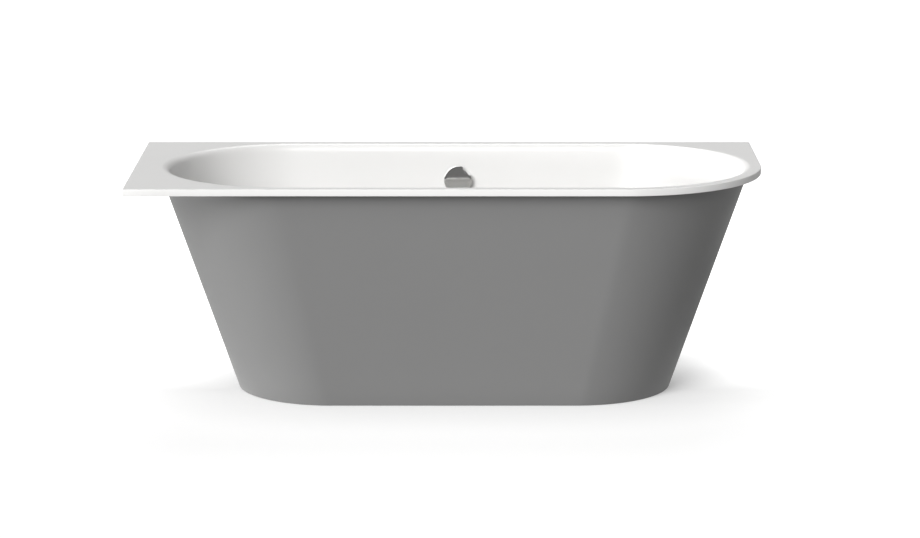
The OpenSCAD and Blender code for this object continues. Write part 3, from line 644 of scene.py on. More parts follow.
# %% [markdown]
# The apron follows one rule: at every height it is a straight-sided outline whose half length and
# half width shrink towards the floor, each at its own slope, with half-round ends of that half
# width. Geometry Nodes can write that rule on a plain grid. Along the grid runs the outline, and up
# the grid runs the height.

# %% Apron tree
apron_low, apron_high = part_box("apron")
APRON_ARC, APRON_ROWS = 48, 13
APRON_COLUMNS = 2 * (APRON_ARC + 1) + 4
FRONT_SLOPE = radians(8.1)
APRON_SIZES = {
    "Half Length": (apron_high.x - apron_low.x) / 2,
    "Half Width": -apron_low.y,
    "Middle": (apron_high.x + apron_low.x) / 2,
    "Back": apron_high.y,
    "Low": apron_low.z,
    "High": apron_high.z,
    "End Slope": radians(19.2),
    "Front Slope": FRONT_SLOPE,
    "Return": 25 * MM,
}


def geometry_tree(rule, sizes, **others):
    """A tree that a rule fills from shape, sizes and finish; copies are made real at its end."""
    shape = {"Geometry": "Geometry"}
    inputs = {**shape, **dict.fromkeys(sizes, "Float"), **others, "Finish": "Material"}
    tree, given, result = new_tree(rule.__name__, "GeometryNodeTree", inputs, shape)
    whole = out(tree, "GeometryNodeRealizeInstances", {0: rule(tree, given)})
    done = out(tree, "GeometryNodeSetMaterial", {"Geometry": whole, "Material": given["Finish"]})
    feed(result, {0: done})
    return tree


def apron_rule(tree, given):
    grid = out(tree, "GeometryNodeMeshGrid", {"Size X": 1.0, "Size Y": 1.0,
                                              "Vertices X": APRON_COLUMNS, "Vertices Y": APRON_ROWS})
    here = apart(tree.nodes.new("GeometryNodeInputPosition").outputs[0])
    last = APRON_COLUMNS - 1
    column = calc("ROUND", times(plus(here[0], 0.5), last))
    z = plus(given["Low"], times(plus(here[1], 0.5), minus(given["High"], given["Low"])))
    below = minus(given["High"], z)
    half_l = minus(given["Half Length"], times(below, calc("TANGENT", given["End Slope"])))
    half_w = minus(given["Half Width"], times(below, calc("TANGENT", given["Front Slope"])))
    # The first and last two columns belong to the back edges; the others run round the two arcs
    step = calc("MINIMUM", calc("MAXIMUM", minus(column, 2.0), 0.0), 2 * APRON_ARC + 1.0)
    right = calc("GREATER_THAN", step, APRON_ARC + 0.5)
    angle = plus(pi, times(minus(step, right), pi / 2 / APRON_ARC))
    side = minus(times(right, 2.0), 1.0)
    x = calc("MULTIPLY_ADD", side, minus(half_l, half_w), times(half_w, calc("COSINE", angle)))
    inward = minus(calc("LESS_THAN", column, 0.5), calc("GREATER_THAN", column, last - 0.5))
    x = plus(plus(x, given["Middle"]), times(inward, given["Return"]))
    at_back = plus(calc("LESS_THAN", column, 1.5), calc("GREATER_THAN", column, last - 1.5))
    y_arc = times(half_w, calc("SINE", angle))
    y = calc("MULTIPLY_ADD", at_back, minus(given["Back"], y_arc), y_arc)
    place = out(tree, "ShaderNodeCombineXYZ", {0: x, 1: y, 2: z})
    return out(tree, "GeometryNodeSetPosition", {"Geometry": grid, "Position": place})


APRON_TREE = geometry_tree(apron_rule, APRON_SIZES)
print("apron tree:", len(APRON_TREE.nodes), "nodes")

# %% [markdown]
# The real apron is one sheet, four millimetres thick, turned in by a narrow flange at the wall. So
# the tree's surface gets its thickness from Solidify, which keeps it even on a slope, and a fine
# Bevel takes the knife edge off its borders.

# %% Apron
APRON_WALL, APRON_EDGE = 4 * MM, 1 * MM


def give_tree(made, tree, node_name, values):
    """Lets a tree make or change a piece; its inputs are set by their identifiers."""
    values = {**values, "Finish": FINISH[SLOT_OF[node_name]]}
    modifier = made.modifiers.new(tree.name, "NODES")
    modifier.node_group = tree
    for item in tree.interface.items_tree:
        if item.in_out == "INPUT" and item.name in values:
            modifier[item.identifier] = values[item.name]


def by_tree(name, tree, node_name, values, path=()):
    """A piece that a tree makes, along a path if there is one."""
    made = in_scene(name, bpy.data.meshes.new(name))
    made.data.from_pydata(path, [(k, k + 1) for k in range(len(path) - 1)], [])
    give_tree(made, tree, node_name, values)
    return made


def thicken(made, wall, even=False):
    solid = made.modifiers.new("wall", "SOLIDIFY")
    solid.thickness, solid.offset, solid.use_even_offset = wall, -1, even


apron_skin = by_tree("apron_skin", APRON_TREE, "apron", APRON_SIZES)
thicken(apron_skin, APRON_WALL, even=True)
soften(apron_skin, APRON_EDGE, 3, 40)
weld(bake_modifiers(apron_skin).data)
set_down(apron_skin, "bath", "apron")
print("apron box", [tuple(round(c, 4) for c in corner) for corner in apron_skin.bound_box][0::6])

# %% [markdown]
# The overflow's cover is a thick chromed disc with a bite taken out of its edge for a finger. One
# function draws that outline at any distance inside the edge, so bevels and the hollow back follow
# the bite as well as the rim. All its heights are measured out of the basin's back wall. The cover
# is a little thinner at its foot, so its flat face stands a degree more upright than the wall: its
# upper part mirrors the dim studio and its lower part the basin's front wall.

# %% Overflow cover
COVER_RADIUS, COVER_LOW, COVER_HIGH, COVER_WALL = 39 * MM, 10 * MM, 22 * MM, 3 * MM
BITE_RADIUS, BITE_DEPTH, BITE_AT = 20.5 * MM, 10.8 * MM, radians(45)
BORE_RADIUS, BOSS_RADIUS = 3.55 * MM, 7.5 * MM
COVER_BEVEL, BACK_BEVEL, COVER_LEAN = 1.5 * MM, 0.4 * MM, 1.3 * MM
DISC_STEPS, BITE_STEPS, BEVEL_STEPS = 120, 40, 6


def cover_flat(inset):
    disc, bite = COVER_RADIUS - inset, BITE_RADIUS + inset
    reach = COVER_RADIUS - BITE_DEPTH + BITE_RADIUS
    open_half = acos((reach ** 2 + disc ** 2 - bite ** 2) / (2 * reach * disc))
    bite_half = acos((reach ** 2 + bite ** 2 - disc ** 2) / (2 * reach * bite))
    points = []
    for k in range(DISC_STEPS + 1):
        t = BITE_AT + open_half + (2 * pi - 2 * open_half) * k / DISC_STEPS
        points.append((disc * cos(t), disc * sin(t)))
    for k in range(1, BITE_STEPS):
        t = BITE_AT + pi + bite_half - 2 * bite_half * k / BITE_STEPS
        points.append((reach * cos(BITE_AT) + bite * cos(t), reach * sin(BITE_AT) + bite * sin(t)))
    return points


def cover_point(x, y, height):
    lean = COVER_LEAN * (1 - y / COVER_RADIUS) / 2 * (height - COVER_LOW) / (COVER_HIGH - COVER_LOW)
    return tuple(overflow_place @ Vector((x, y, height - lean)))


def cover_outline(inset, height, share=1.0):
    return [cover_point(x * share, y * share, height) for x, y in cover_flat(inset)]


def cover_circle(radius, height):
    """A circle with as many points as the outline, each in the direction of its partner."""
    turns = [atan2(y, x) for x, y in cover_flat(0)]
    return [cover_point(radius * cos(t), radius * sin(t), height) for t in turns]


def cover_rings():
    pocket, low, edge = COVER_HIGH - COVER_WALL, COVER_LOW + BACK_BEVEL, COVER_HIGH - COVER_BEVEL
    rings = [cover_circle(0, pocket)]
    rings += [cover_circle(BORE_RADIUS, z) for z in (pocket, COVER_LOW)]
    rings += [cover_circle(BOSS_RADIUS, z) for z in (COVER_LOW, pocket)]
    rings += [cover_outline(inset, z) for inset, z in (
        (COVER_WALL, pocket), (COVER_WALL, low), (COVER_WALL - BACK_BEVEL, COVER_LOW),
        (BACK_BEVEL, COVER_LOW), (0, low))]
    rings += [cover_outline(down, edge + away) for away, down in quarter(BEVEL_STEPS, COVER_BEVEL)]
    return rings + [cover_outline(COVER_BEVEL, COVER_HIGH, share) for share in (0.8, 0.5, 0.2, 0)]


set_down(skin("overflow_cover", cover_rings()), "turning_cover", "overflow_knob")

# %% [markdown]
# Round fittings are turned: a profile of radius and height, swept once round its axis. A closed
# profile makes a ring, and a profile that starts and ends on the axis makes a solid. Profiles are
# written in millimetres, with heights from the piece's own low end, as on a turner's drawing.

# %% Turned plug and drain ring
def turned_rings(profile, place=Matrix(), steps=72):
    turns = [2 * pi * i / steps for i in range(steps)]
    return [[tuple(place @ Vector((r * MM * cos(t), r * MM * sin(t), z * MM))) for t in turns]
            for r, z in profile]


def turned(name, profile, place=Matrix(), closed=True, steps=72):
    return skin(name, turned_rings(profile, place, steps), round_again=closed)


def fillet(middle_r, middle_z, radius, start, end, count=5):
    """Points of an arc round its middle, between two angles in degrees from the +r direction."""
    turns = [radians(start + (end - start) * k / count) for k in range(count + 1)]
    return [(middle_r + radius * cos(t), middle_z + radius * sin(t)) for t in turns]


PLUG_RADIUS, DOME_LOW, DOME_RISE, DOME_STEPS = 29.4, 11, 4, 10
dome_shares = [1 - k / DOME_STEPS for k in range(1, DOME_STEPS + 1)]
PLUG_PROFILE = (
    [(0, 0), (18, 0), (18, 1.5), (16, 1.5), (16, 4.5), (18, 4.5), (18, 7.8), (PLUG_RADIUS, 7.8)]
    + fillet(PLUG_RADIUS, 8.4, 0.6, -90, 0, 3) + fillet(PLUG_RADIUS - 0.6, 9.8, 1.2, 0, 75, 5)
    + [(PLUG_RADIUS * share, DOME_LOW + DOME_RISE * (1 - share ** 2)) for share in dome_shares])
RING_PROFILE = (
    [(22, 0), (25.5, 0), (25.5, 26), (35, 26)] + fillet(34, 27.5, 1, 0, 90)
    + fillet(25.2, 27.8, 0.7, 90, 180, 3) + [(23.2, 27.2), (22.3, 26.6), (22, 25.6)])
HUB_PROFILE = [(4.1, 2), (8, 2), (8, 7), (4.1, 7)]
SPOKE_AT, SPOKE_HEIGHT, SPOKE_SIZE = 15 * MM, 4.5 * MM, (15 * MM, 3 * MM, 5 * MM, 1)

plug_place = at(DRAIN_X, 0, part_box("plug_cap")[0].z)
set_down(turned("plug_dome", PLUG_PROFILE, plug_place, closed=False), "plug", "plug_cap")
ring_place = at(DRAIN_X, 0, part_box("waste_ring")[0].z)
drain_ring = turned("drain_ring", RING_PROFILE, ring_place, steps=96)
spoke_places = [ring_place @ turn(radians(angle), "Z") @ at(SPOKE_AT, 0, SPOKE_HEIGHT)
                @ Matrix.Diagonal(SPOKE_SIZE) for angle in (30, 150, 270)]
join(drain_ring, in_scene("spokes", solids("spokes", bmesh.ops.create_cube, spoke_places, size=1.0)))
join(drain_ring, turned("hub", HUB_PROFILE, ring_place))
set_down(drain_ring, "bath", "waste_ring")

# %% [markdown]
# The hose is corrugated so that it can bend. Its path runs down behind the basin, round one bend and
# level to the waste. Geometry Nodes turns the path into a curve, cuts it into short steps and lets
# the radius swell and shrink along it, and Solidify gives the hose its wall. The sheathed cable runs
# beside it on the same path, without the ribs.

# %% Hose and cable
HOSE_BEND, HOSE_LEVEL, BEND_STEPS = 80 * MM, 131 * MM, 24
HOSE_FROM, HOSE_TO, HOSE_OUT = 41.3 * MM, 38.3 * MM, 26 * MM
HOSE = {"Radius": 15 * MM, "Rib Depth": 2 * MM, "Rib Pitch": 4.2 * MM, "Step": 0.7 * MM}
CABLE = {"Radius": 3 * MM, "Rib Depth": 0.0, "Rib Pitch": 1.0, "Step": 4 * MM}
HOSE_WALL, CABLE_BESIDE = 1 * MM, 27 * MM
down_dir = Vector((0, -sin(SIDE_SLOPE), -cos(SIDE_SLOPE)))
hose_top = overflow_place @ Vector((0, 0, -HOSE_OUT))
bend_height = HOSE_LEVEL + HOSE_BEND
fall = (hose_top.z - bend_height + HOSE_BEND * sin(SIDE_SLOPE)) / cos(SIDE_SLOPE)
bend_y = (hose_top + down_dir * fall).y - HOSE_BEND * cos(SIDE_SLOPE)
bend_middle = Vector((DRAIN_X, bend_y, bend_height))


def hose_path(beside):
    path = [hose_top + down_dir * HOSE_FROM, hose_top + down_dir * (HOSE_FROM + fall) / 2]
    for k in range(BEND_STEPS + 1):
        t = -SIDE_SLOPE - STEEP * k / BEND_STEPS
        path.append(bend_middle + HOSE_BEND * Vector((0, cos(t), sin(t))))
    path.append(Vector((DRAIN_X, HOSE_TO, HOSE_LEVEL)))
    return [tuple(point + Vector((beside, 0, 0))) for point in path]


def tube_on_path(tree, given):
    curve = out(tree, "GeometryNodeMeshToCurve", {"Mesh": given["Geometry"]})
    steps = {"Curve": curve, "Length": given["Step"]}
    fine = out(tree, "GeometryNodeResampleCurve", steps, mode="LENGTH")
    along = tree.nodes.new("GeometryNodeSplineParameter").outputs["Length"]
    wave = calc("COSINE", calc("DIVIDE", times(along, 2 * pi), given["Rib Pitch"]))
    dip = times(minus(1.0, wave), times(given["Rib Depth"], 0.5))
    ring = out(tree, "GeometryNodeCurvePrimitiveCircle", {"Resolution": 32, "Radius": 1.0})
    return out(tree, "GeometryNodeCurveToMesh", {
        "Curve": fine, "Profile Curve": ring, "Scale": minus(given["Radius"], dip)})


TUBE_TREE = geometry_tree(tube_on_path, HOSE)


for name, beside, values, node_name in (("corrugated_hose", 0, HOSE, "overflow_hose"),
                                        ("sheathed_cable", CABLE_BESIDE, CABLE, "control_cable")):
    tube = by_tree(name, TUBE_TREE, node_name, values, hose_path(beside))
    weld(bake_modifiers(tube).data, sharp=70)
    if values is HOSE:
        thicken(tube, HOSE_WALL)
        bake_modifiers(tube)
    set_down(tube, "bath", node_name)

# %% [markdown]
# Things that repeat are made once. The tree below puts a copy of a small mesh at every point of a
# list, and makes the copies real. Threads are a stack of rings whose radius winds round once per
# pitch, and a hexagon nut is a stack of hexagons whose corners are cut back by a chamfer.

# %% Copies, threads and nuts
def copies_at_points(tree, given):
    points = node(tree, "GeometryNodeObjectInfo", {"Object": given["Points"]}).outputs["Geometry"]
    return out(tree, "GeometryNodeInstanceOnPoints",
               {"Points": points, "Instance": given["Geometry"]})


REPEAT_TREE = geometry_tree(copies_at_points, (), Points="Object")


def set_down_copies(made, points, node_name):
    """Puts copies of a piece that is drawn at the origin at the points, and hands them over."""
    spots = bpy.data.meshes.new("spots")
    spots.from_pydata(points, [], [])
    holder = in_scene("spots", spots)
    give_tree(made, REPEAT_TREE, node_name, {"Points": holder})
    bake_modifiers(made)
    bpy.data.objects.remove(holder)
    bpy.data.meshes.remove(spots)
    shade(made.data)
    set_down(made, "bath", node_name)


def thread_rings(radius, depth, pitch, low, high, place=Matrix(), steps=24, per_turn=6):
    """A thread of the outer radius, cut to the depth, between two heights; all in millimetres."""
    count = int((high - low) / pitch * per_turn)
    rings = []
    for k in range(count + 1):
        z = low + (high - low) * k / count
        ring = []
        for i in range(steps):
            share = ((z - low) / pitch - i / steps) % 1.0
            r, t = radius - depth * (1 - abs(2 * share - 1)), 2 * pi * i / steps
            ring.append(tuple(place @ Vector((r * MM * cos(t), r * MM * sin(t), z * MM))))
        rings.append(ring)
    return rings


def hex_rings(corner, low, high, bore, steps=72):
    """A nut with its corners at a radius, chamfered at 30 degrees; all in millimetres."""
    flat = corner * cos(pi / 6)
    free = flat * 0.99
    rings = [[] for _ in range(6)]
    for i in range(steps):
        t = 2 * pi * i / steps
        r = flat / cos((t % (pi / 3)) - pi / 6)
        drop = max(0.0, r - free) * tan(pi / 6)
        for ring, (radius, z) in zip(rings, ((bore, low), (min(free, r), low), (r, low + drop),
                                            (r, high - drop), (min(free, r), high), (bore, high))):
            ring.append((radius * MM * cos(t + pi / 6), radius * MM * sin(t + pi / 6), z * MM))
    return rings


# %% [markdown]
# The bath stands on four levelling feet: a threaded stud that is screwed up or down, in a wide
# plastic pad, with a lock nut under the rail. Stud and pad ride on their own body, because each foot
# can be set by itself. The nuts stay with the rails.

# %% Levelling feet
FEET = ("front_left", "front_right", "back_left", "back_right")
STUD_STEPS, STUD_TIP, STUD_LOW, STUD_HIGH = 24, 5, 6, 164
STUD_THREAD = dict(radius=6, depth=0.7, pitch=1.75, low=6.5, high=163.2)
PAD_PROFILE = (
    [(0, 0), (23.4, 0)] + fillet(23.6, 1.4, 1.4, -90, 0, 3) + fillet(23.8, 3.8, 1.2, 0, 80, 4)
    + [(19, 6.2), (14, 7.6), (12.2, 8.6), (11.4, 10.5)] + fillet(10.2, 13.2, 0.8, 0, 90, 3)
    + [(6.4, 14), (6.05, 13.6), (6.05, 6), (0, 6)])
LOCK_NUT = dict(corner=11, low=116, high=126, bore=6.05)


def middle(node_name):
    """The middle of a node's box, to the micrometre."""
    low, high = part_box(node_name)
    return [round(c, 6) for c in (low + high) / 2]


foot_spots = {name: middle("foot_stud_" + name)[:2] for name in FEET}
for name, (x, y) in foot_spots.items():
    spot = at(x, y, 0)
    rings = turned_rings([(0, STUD_LOW), (STUD_TIP, STUD_LOW)], spot, STUD_STEPS)
    rings += thread_rings(**STUD_THREAD, place=spot)
    rings += turned_rings([(STUD_TIP - 0.2, STUD_HIGH), (0, STUD_HIGH)], spot, STUD_STEPS)
    set_down(skin("stud_" + name, rings), "foot_" + name, "foot_stud_" + name)
    pad = turned("pad_" + name, PAD_PROFILE, spot, closed=False)
    set_down(pad, "foot_" + name, "foot_pad_" + name)

nuts = skin("foot_lock_nuts", hex_rings(**LOCK_NUT), round_again=True)
set_down_copies(nuts, [(x, y, 0) for x, y in foot_spots.values()], "foot_nuts")

# %% [markdown]
# The rails are roll-formed tube, and the angles and the hooks are bent from strip, so their outer
# corners are round. All of them start as an outline with rounded corners. A strip is its outline
# swept by the strip's width.

# %% Rounded outlines
STRIP_WIDTH, STRIP_EDGE = 40 * MM, 0.35 * MM


def rounded(corners, radii, count=4):
    """A polygon whose corners are rounded, convex or hollow."""
    points = []
    for k, radius in enumerate(radii):
        here = Vector(corners[k])
        if radius <= 0:
            points.append(tuple(here))
            continue
        before = (Vector(corners[k - 1]) - here).normalized()
        after = (Vector(corners[(k + 1) % len(corners)]) - here).normalized()
        half = before.angle(after) / 2
        centre = here + (before + after).normalized() * (radius / sin(half))
        start, end = [here + way * (radius / tan(half)) - centre for way in (before, after)]
        points += [tuple(centre + start.lerp(end, i / count).normalized() * radius)
                   for i in range(count + 1)]
    return points


def square(size, radius):
    corners = [(a * size / 2, b * size / 2) for a, b in ((-1, -1), (1, -1), (1, 1), (-1, 1))]
    return rounded(corners, [radius] * 4)


def strip(name, outline, place):
    """Sweeps an outline along X by the strip's width and breaks its edges."""
    rings = [[tuple(place @ Vector((x, y, z))) for y, z in outline]
             for x in (-STRIP_WIDTH / 2, STRIP_WIDTH / 2)]
    made = skin(name, rings, cap=True)
    soften(made, STRIP_EDGE, 2, 60)
    shade(bake_modifiers(made).data)
    return made


# %% [markdown]
# Each rail is an outer and an inner square, joined round the open ends, and its holes are drilled
# where the feet, the wood screws and the bolt go. A wood screw's lower hole is wide, to let the
# screw's head and the driver in. At the rail's front end stands the angle that holds the apron's
# front. Its leg leans with the apron.

# %% Rails and angles
SIDES = ("left", "right")
rail_low, rail_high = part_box("rail_left")
board_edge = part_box("base_board")[1].y
RAIL_X = [middle("rail_" + side)[0] for side in SIDES]
RAIL_SIZE, RAIL_WALL, RAIL_ROUND, BORE_ROUND = rail_high.z - rail_low.z, 2 * MM, 3 * MM, 1.5 * MM
FOOT_Y = [foot_spots[end + "_left"][1] for end in ("front", "back")]
SCREW_INSETS, BOLT_INSET = (29.5 * MM, 94.5 * MM), 17.5 * MM
SCREW_Y = [-(board_edge - inset) for inset in SCREW_INSETS]
SCREW_Y += [-y for y in reversed(SCREW_Y)]
BOLT_Y = rail_low.y + BOLT_INSET
BIT_LENGTH, BOLT_HOLE = 10 * MM, 3.1 * MM
# Places along the rail, with the radius of the hole in its lower and its upper wall
RAIL_HOLES = (FOOT_Y, 6.1 * MM, 7 * MM), (SCREW_Y, 6 * MM, 2.35 * MM)
SHEET, LEG_LENGTH = 3 * MM, 40 * MM
ANGLE_ROUND, ANGLE_BOLT, ANGLE_OUT = [3.6 * MM, 0, 0, 1 * MM, 0, 0], 3.3 * MM, 1 * MM

outer, inner = square(RAIL_SIZE, RAIL_ROUND), square(RAIL_SIZE - 2 * RAIL_WALL, BORE_ROUND)
rise, drift = LEG_LENGTH * cos(FRONT_SLOPE), LEG_LENGTH * sin(FRONT_SLOPE)
thick_y, thick_z = SHEET * cos(FRONT_SLOPE), SHEET * sin(FRONT_SLOPE)
inner_y = thick_y - (SHEET - thick_z) * tan(FRONT_SLOPE)
for side, x in zip(SIDES, RAIL_X):
    rings = [[(x + a, y, rail_low.z + RAIL_SIZE / 2 + b) for a, b in outline] for outline, y in
             ((outer, rail_low.y), (outer, rail_high.y), (inner, rail_high.y), (inner, rail_low.y))]
    rail = skin("tube_rail_" + side, rings, round_again=True)
    bits = [(at(x, y, z), radius, BIT_LENGTH) for ys, low_radius, high_radius in RAIL_HOLES
            for y in ys for z, radius in ((rail_low.z, low_radius), (rail_high.z, high_radius))]
    drill(rail, bits + [(at(x, BOLT_Y, rail_high.z), BOLT_HOLE, BIT_LENGTH)], crisp=True)
    set_down(rail, "bath", "rail_" + side)

    reach = BOLT_Y + BOLT_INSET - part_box("bracket_" + side)[0].y - drift
    leg = [(0, 0), (reach, 0), (reach, SHEET), (inner_y, SHEET),
           (thick_y - drift, thick_z + rise), (-drift, rise)]
    foot = at(x, BOLT_Y + BOLT_INSET - reach, rail_high.z)
    angle = strip("bent_angle_" + side, rounded(leg, ANGLE_ROUND), foot)
    drill(angle, [(at(x, BOLT_Y, rail_high.z + ANGLE_OUT), ANGLE_BOLT, BIT_LENGTH)], crisp=True)
    set_down(angle, "bath", "bracket_" + side)

# %% [markdown]
# The hooks hold the rim to the walls. A hook steps out from the wall, so that the rim's lip can slip
# in behind it.

# %% Wall hooks
hook_low, hook_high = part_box("wall_hook_left")
HOOK_BEND, HOOK_HOLE, HOOK_BOLT, HOOK_BIT = 591.7 * MM, 562 * MM, 3.5 * MM, 12 * MM
HOOK_ROUND = [0, 2.8 * MM, 0.8 * MM, 0, 0, 3 * MM, 0.8 * MM, 0]
depth = hook_high.y - hook_low.y
HOOK = [(0, hook_low.z), (0, HOOK_BEND), (SHEET - depth, HOOK_BEND), (SHEET - depth, hook_high.z),
        (-depth, hook_high.z), (-depth, HOOK_BEND - SHEET), (-SHEET, HOOK_BEND - SHEET),
        (-SHEET, hook_low.z)]
HOOK_PLACES = {side: at(middle("wall_hook_" + side)[0], hook_high.y, 0) for side in SIDES}
HOOK_PLACES["side"] = at(shell_low.x, middle("wall_hook_side")[1], 0) @ turn(pi / 2, "Z")
for side, place in HOOK_PLACES.items():
    hook = strip("bent_hook_" + side, rounded(HOOK, HOOK_ROUND), place)
    hole = place @ at(0, -SHEET / 2, HOOK_HOLE) @ turn(pi / 2, "X")
    drill(hook, [(hole, HOOK_BOLT, HOOK_BIT)], crisp=True)
    set_down(hook, "bath", "wall_hook_" + side)

# %% [markdown]
# The wood screws have a flat head with a cross recess and a coarse thread, and the bolts have
# chamfered hexagon heads. Each is drawn once, at the height where it belongs, and copied to its
# places.

# %% Screws and bolts
SCREW_HEAD = [(0, 151), (3.9, 151), (4.5, 151.5), (4.5, 153.6), (4.1, 154), (2.2, 154)]
SCREW_THREAD = dict(radius=2.25, depth=0.5, pitch=2.2, low=154.2, high=166.4, per_turn=8)
SCREW_TIP = [(0, 168)]
RECESS_LONG, RECESS_WIDE, RECESS_DEEP = 4.4 * MM, 1.0 * MM, 2.4 * MM
BOLT_THREAD = dict(radius=3, depth=0.35, pitch=1.0, low=144.3, high=159.2)

screws = skin("wood_screws", turned_rings(SCREW_HEAD, steps=24) + thread_rings(**SCREW_THREAD)
              + turned_rings(SCREW_TIP, steps=24))
recess = [at(0, 0, SCREW_HEAD[0][1] * MM) @ Matrix.Diagonal((*size, RECESS_DEEP, 1))
          for size in ((RECESS_LONG, RECESS_WIDE), (RECESS_WIDE, RECESS_LONG))]
cut(screws, solids("recess", bmesh.ops.create_cube, recess, size=1.0), use_self=True)
set_down_copies(screws, [(x, y, 0) for x in RAIL_X for y in SCREW_Y], "rail_screws")

bolts = skin("hex_bolts", hex_rings(corner=5.8, low=159, high=163, bore=0.01), round_again=True)
join(bolts, skin("shank", turned_rings([(0, 144)], steps=24) + thread_rings(**BOLT_THREAD)
                 + turned_rings([(0, BOLT_THREAD["high"])], steps=24)))
set_down_copies(bolts, [(x, BOLT_Y, 0) for x in RAIL_X], "bracket_screws")

# %% [markdown]
# Union nuts are turned by hand, so they have ribs to grip. One tree stands small rounded ribs in a
# circle, and each nut's turned body is joined to them. The ribs are plain rods that sink halfway
# into the body.

# %% Union nuts
GRIP_SIZES = ("Circle", "Rib Radius", "Rib Length")
RIB_RADIUS, RIB_INSET, RIB_MARGIN = 1.15, 1.0, 1.3


def grip_ribs(tree, given):
    circle = out(tree, "GeometryNodeMeshCircle", {"Vertices": given["Count"],
                                                  "Radius": given["Circle"]})
    rib = out(tree, "GeometryNodeMeshCylinder", {"Vertices": 12, "Radius": given["Rib Radius"],
                                                 "Depth": given["Rib Length"]})
    return out(tree, "GeometryNodeInstanceOnPoints", {"Points": circle, "Instance": rib})


GRIP_TREE = geometry_tree(grip_ribs, GRIP_SIZES, Count="Int")


def union_nut(name, node_name, place, bore, outer, low, step, high, mouth, ribs):
    """A hollow nut whose far end closes in to its mouth, with its ribs inside the outer radius."""
    body = outer - RIB_INSET
    profile = [(bore, low), (body - 0.5, low), (body, low + 0.5), (body, high - 0.8),
               (body - 0.8, high), (mouth, high)]
    if mouth < bore:
        profile += [(mouth, step), (bore, step)]
    made = turned(name, profile, place)
    sizes = [size * MM for size in (outer - RIB_RADIUS, RIB_RADIUS, high - low - 2 * RIB_MARGIN)]
    values = {**dict(zip(GRIP_SIZES, sizes)), "Count": ribs}
    grips = by_tree(name + "_ribs", GRIP_TREE, node_name, values)
    bake_modifiers(grips).data.transform(place @ at(0, 0, (low + high) / 2 * MM))
    return join(made, grips)


TO_BACK = turn(-pi / 2, "X")
OUTLET_LEVEL = 76 * MM
upper = overflow_place @ at(0, 0, -HOSE_OUT) @ turn(pi / 2, "X")
lower, outlet = [at(DRAIN_X, 0, level) @ TO_BACK for level in (HOSE_LEVEL, OUTLET_LEVEL)]
TRAP_NUT = dict(bore=29.1, outer=34, low=98.3, step=105, high=109, mouth=25.3, ribs=36)
OUTLET_NUT = dict(bore=23.5, outer=28, low=71, step=85, high=90, mouth=19.3, ribs=30)
HOSE_NUT = dict(bore=15.1, outer=20, step=50, mouth=15.1, ribs=24)
trap_grip = union_nut("trap_union_nut", "trap_nut", at(DRAIN_X, 0, 0), **TRAP_NUT)
set_down(trap_grip, "bath", "trap_nut")
outlet_grip = union_nut("outlet_union_nut", "outlet_nut", outlet, **OUTLET_NUT)
set_down(outlet_grip, "bath", "outlet_nut")
hose_grips = union_nut("hose_union_nuts", "hose_nuts", upper, low=42.3, high=61.3, **HOSE_NUT)
join(hose_grips, union_nut("lower_nut", "hose_nuts", lower, low=39.3, high=58.3, **HOSE_NUT))
set_down(hose_grips, "bath", "hose_nuts")

# %% [markdown]
# The floor is plain and pale, and so is everything round it. A white floor under soft lamps is not
# quite white in the picture, so for the camera, and for what metal reflects, it gives off a little
# light of its own. That lifts it to white and keeps the soft shadow of the bath. Near the bath an
# ambient occlusion dims the camera's glow, which paints a soft shade round its base. Behind the
# bath's back edge it is plain white, like a backdrop. Its mirrored light fades to both sides,
# because a glossy skin that is seen edge-on would otherwise shine at its outline.

# %% Floor
FLOOR_HALF, FLOOR_COLOUR, FLOOR_ROUGHNESS = 60.0, (0.55, 0.55, 0.548, 1), 0.9
FLOOR_LIFT, WALL_LIFT = 0.56, 1.15
WALL_FROM, WALL_TO = -0.08, 0.22
PAINTED_SHADE_REACH, PAINTED_SHADE_DEPTH = 0.3, 0.62
FADE_FROM, FADE_TO, FADED = 0.5, 1.0, 0.05


def shiny_rays(path):
    return calc("MAXIMUM", path["Is Glossy Ray"], path["Is Transmission Ray"])


def make_floor_paint():
    made, tree, shader = start_material("floor_paint", {
        "Roughness": FLOOR_ROUGHNESS, "IOR": 1.3, "Base Color": FLOOR_COLOUR,
        "Emission Color": (1, 1, 1, 1)})
    path = tree.nodes.new("ShaderNodeLightPath").outputs
    x, y, _ = apart(where(tree))
    lift = between(y, WALL_FROM, WALL_TO, FLOOR_LIFT, WALL_LIFT)
    # Painted shade: where the bath is near, the glow that the camera sees is dimmed, so the floor is
    # darker round its base
    painted_shade = node(tree, "ShaderNodeAmbientOcclusion", {"Distance": PAINTED_SHADE_REACH}, samples=8)
    lift = times(lift, between(painted_shade.outputs["AO"], 0.0, 1.0, 1 - PAINTED_SHADE_DEPTH, 1.0))
    mirrored = between(calc("ABSOLUTE", x), FADE_FROM, FADE_TO, FLOOR_LIFT, FADED)
    glow = plus(times(path["Is Camera Ray"], lift), times(shiny_rays(path), mirrored))
    feed(shader, {"Emission Strength": glow})
    return made


floor_mesh = bpy.data.meshes.new("floor")
corners = [(x * FLOOR_HALF, y * FLOOR_HALF, 0) for x, y in ((-1, -1), (1, -1), (1, 1), (-1, 1))]
floor_mesh.from_pydata(corners, [], [(0, 1, 2, 3)])
floor_mesh.materials.append(make_floor_paint())
in_scene("floor", floor_mesh)
print("floor:", 2 * FLOOR_HALF, "metres square")

# %% [markdown]
# The lamps are far away and large, like windows and lit walls, so each one is a sun with a wide
# disc. Most of the light comes from the front, a little to the left, so the left end of the basin
# and the right end of the apron fall into shade. A low one, almost from the side, rounds the
# apron's left end, and it stands so low that it doesn't reach into the basin. A weak one from
# behind lights the basin's front wall and casts the faint shadow in front of the bath.

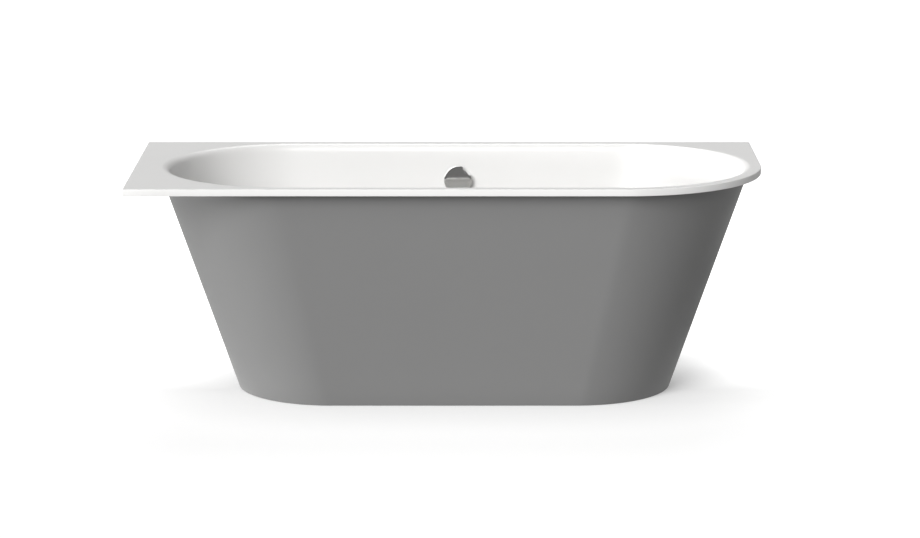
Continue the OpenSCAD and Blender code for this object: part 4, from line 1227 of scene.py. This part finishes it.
# %% Lamps
LAMP_AWAY = 8.0
LAMPS = [
    # name, degrees from the front towards the right, degrees up, width in degrees, strength
    ("front_high", -14, 55, 30, 0.305),
    ("front", -26, 30, 34, 0.82),
    ("low_left", -84, 2, 3, 0.8),
    ("behind", 180, 50, 30, 0.22),
]
for name, azimuth, elevation, width, strength in LAMPS:
    lamp = in_scene(name, bpy.data.lights.new(name, "SUN"))
    lamp.data.angle, lamp.data.energy = radians(width), strength * pi
    a, e = radians(azimuth), radians(elevation)
    away = Vector((sin(a) * cos(e), -cos(a) * cos(e), sin(e)))
    lamp.location = away * LAMP_AWAY
    lamp.rotation_mode = "QUATERNION"
    lamp.rotation_quaternion = (-away).to_track_quat("-Z", "Y")
print("lamps:", [row[0] for row in LAMPS])

# %% [markdown]
# The room round the bath gives only a faint even light. The camera sees white wherever it looks.
# Shiny pieces see a pale wall behind the bath, and the dim side of the studio in front of it.

# %% Room
ROOM_LIGHT, CAMERA_WHITE = 0.02, 1.0
DIM_SIDE, WHITE_SIDE = 0.18, 0.55
SIDE_FROM, SIDE_TO = 0.4, 0.8
world = bpy.data.worlds.new("studio")
bpy.context.scene.world = world
world.use_nodes = True
room = world.node_tree
path = room.nodes.new("ShaderNodeLightPath").outputs
facing = apart(room.nodes.new("ShaderNodeTexCoord").outputs["Generated"])
side = between(facing[1], SIDE_FROM, SIDE_TO, DIM_SIDE, WHITE_SIDE)
seen = out(room, "ShaderNodeMix", {0: shiny_rays(path), 2: ROOM_LIGHT, 3: side})
seen = out(room, "ShaderNodeMix", {0: path["Is Camera Ray"], 2: seen, 3: CAMERA_WHITE})
feed(room.nodes["Background"], {"Color": (1, 1, 1, 1), "Strength": seen})
print("room light:", ROOM_LIGHT)

# %% [markdown]
# Every other piece of the model keeps its shape and gets its finish here. Those are the seals,
# pipes and small fittings that sit behind or under the bath, where the model's shape is enough.

# %% Finishes of the carried pieces
carried = [name for name in SLOT_OF if not frame["nodes"][name].hide_render]
for name in carried:
    dress(frame["nodes"][name], name)
print("carried over:", len(carried), "pieces")
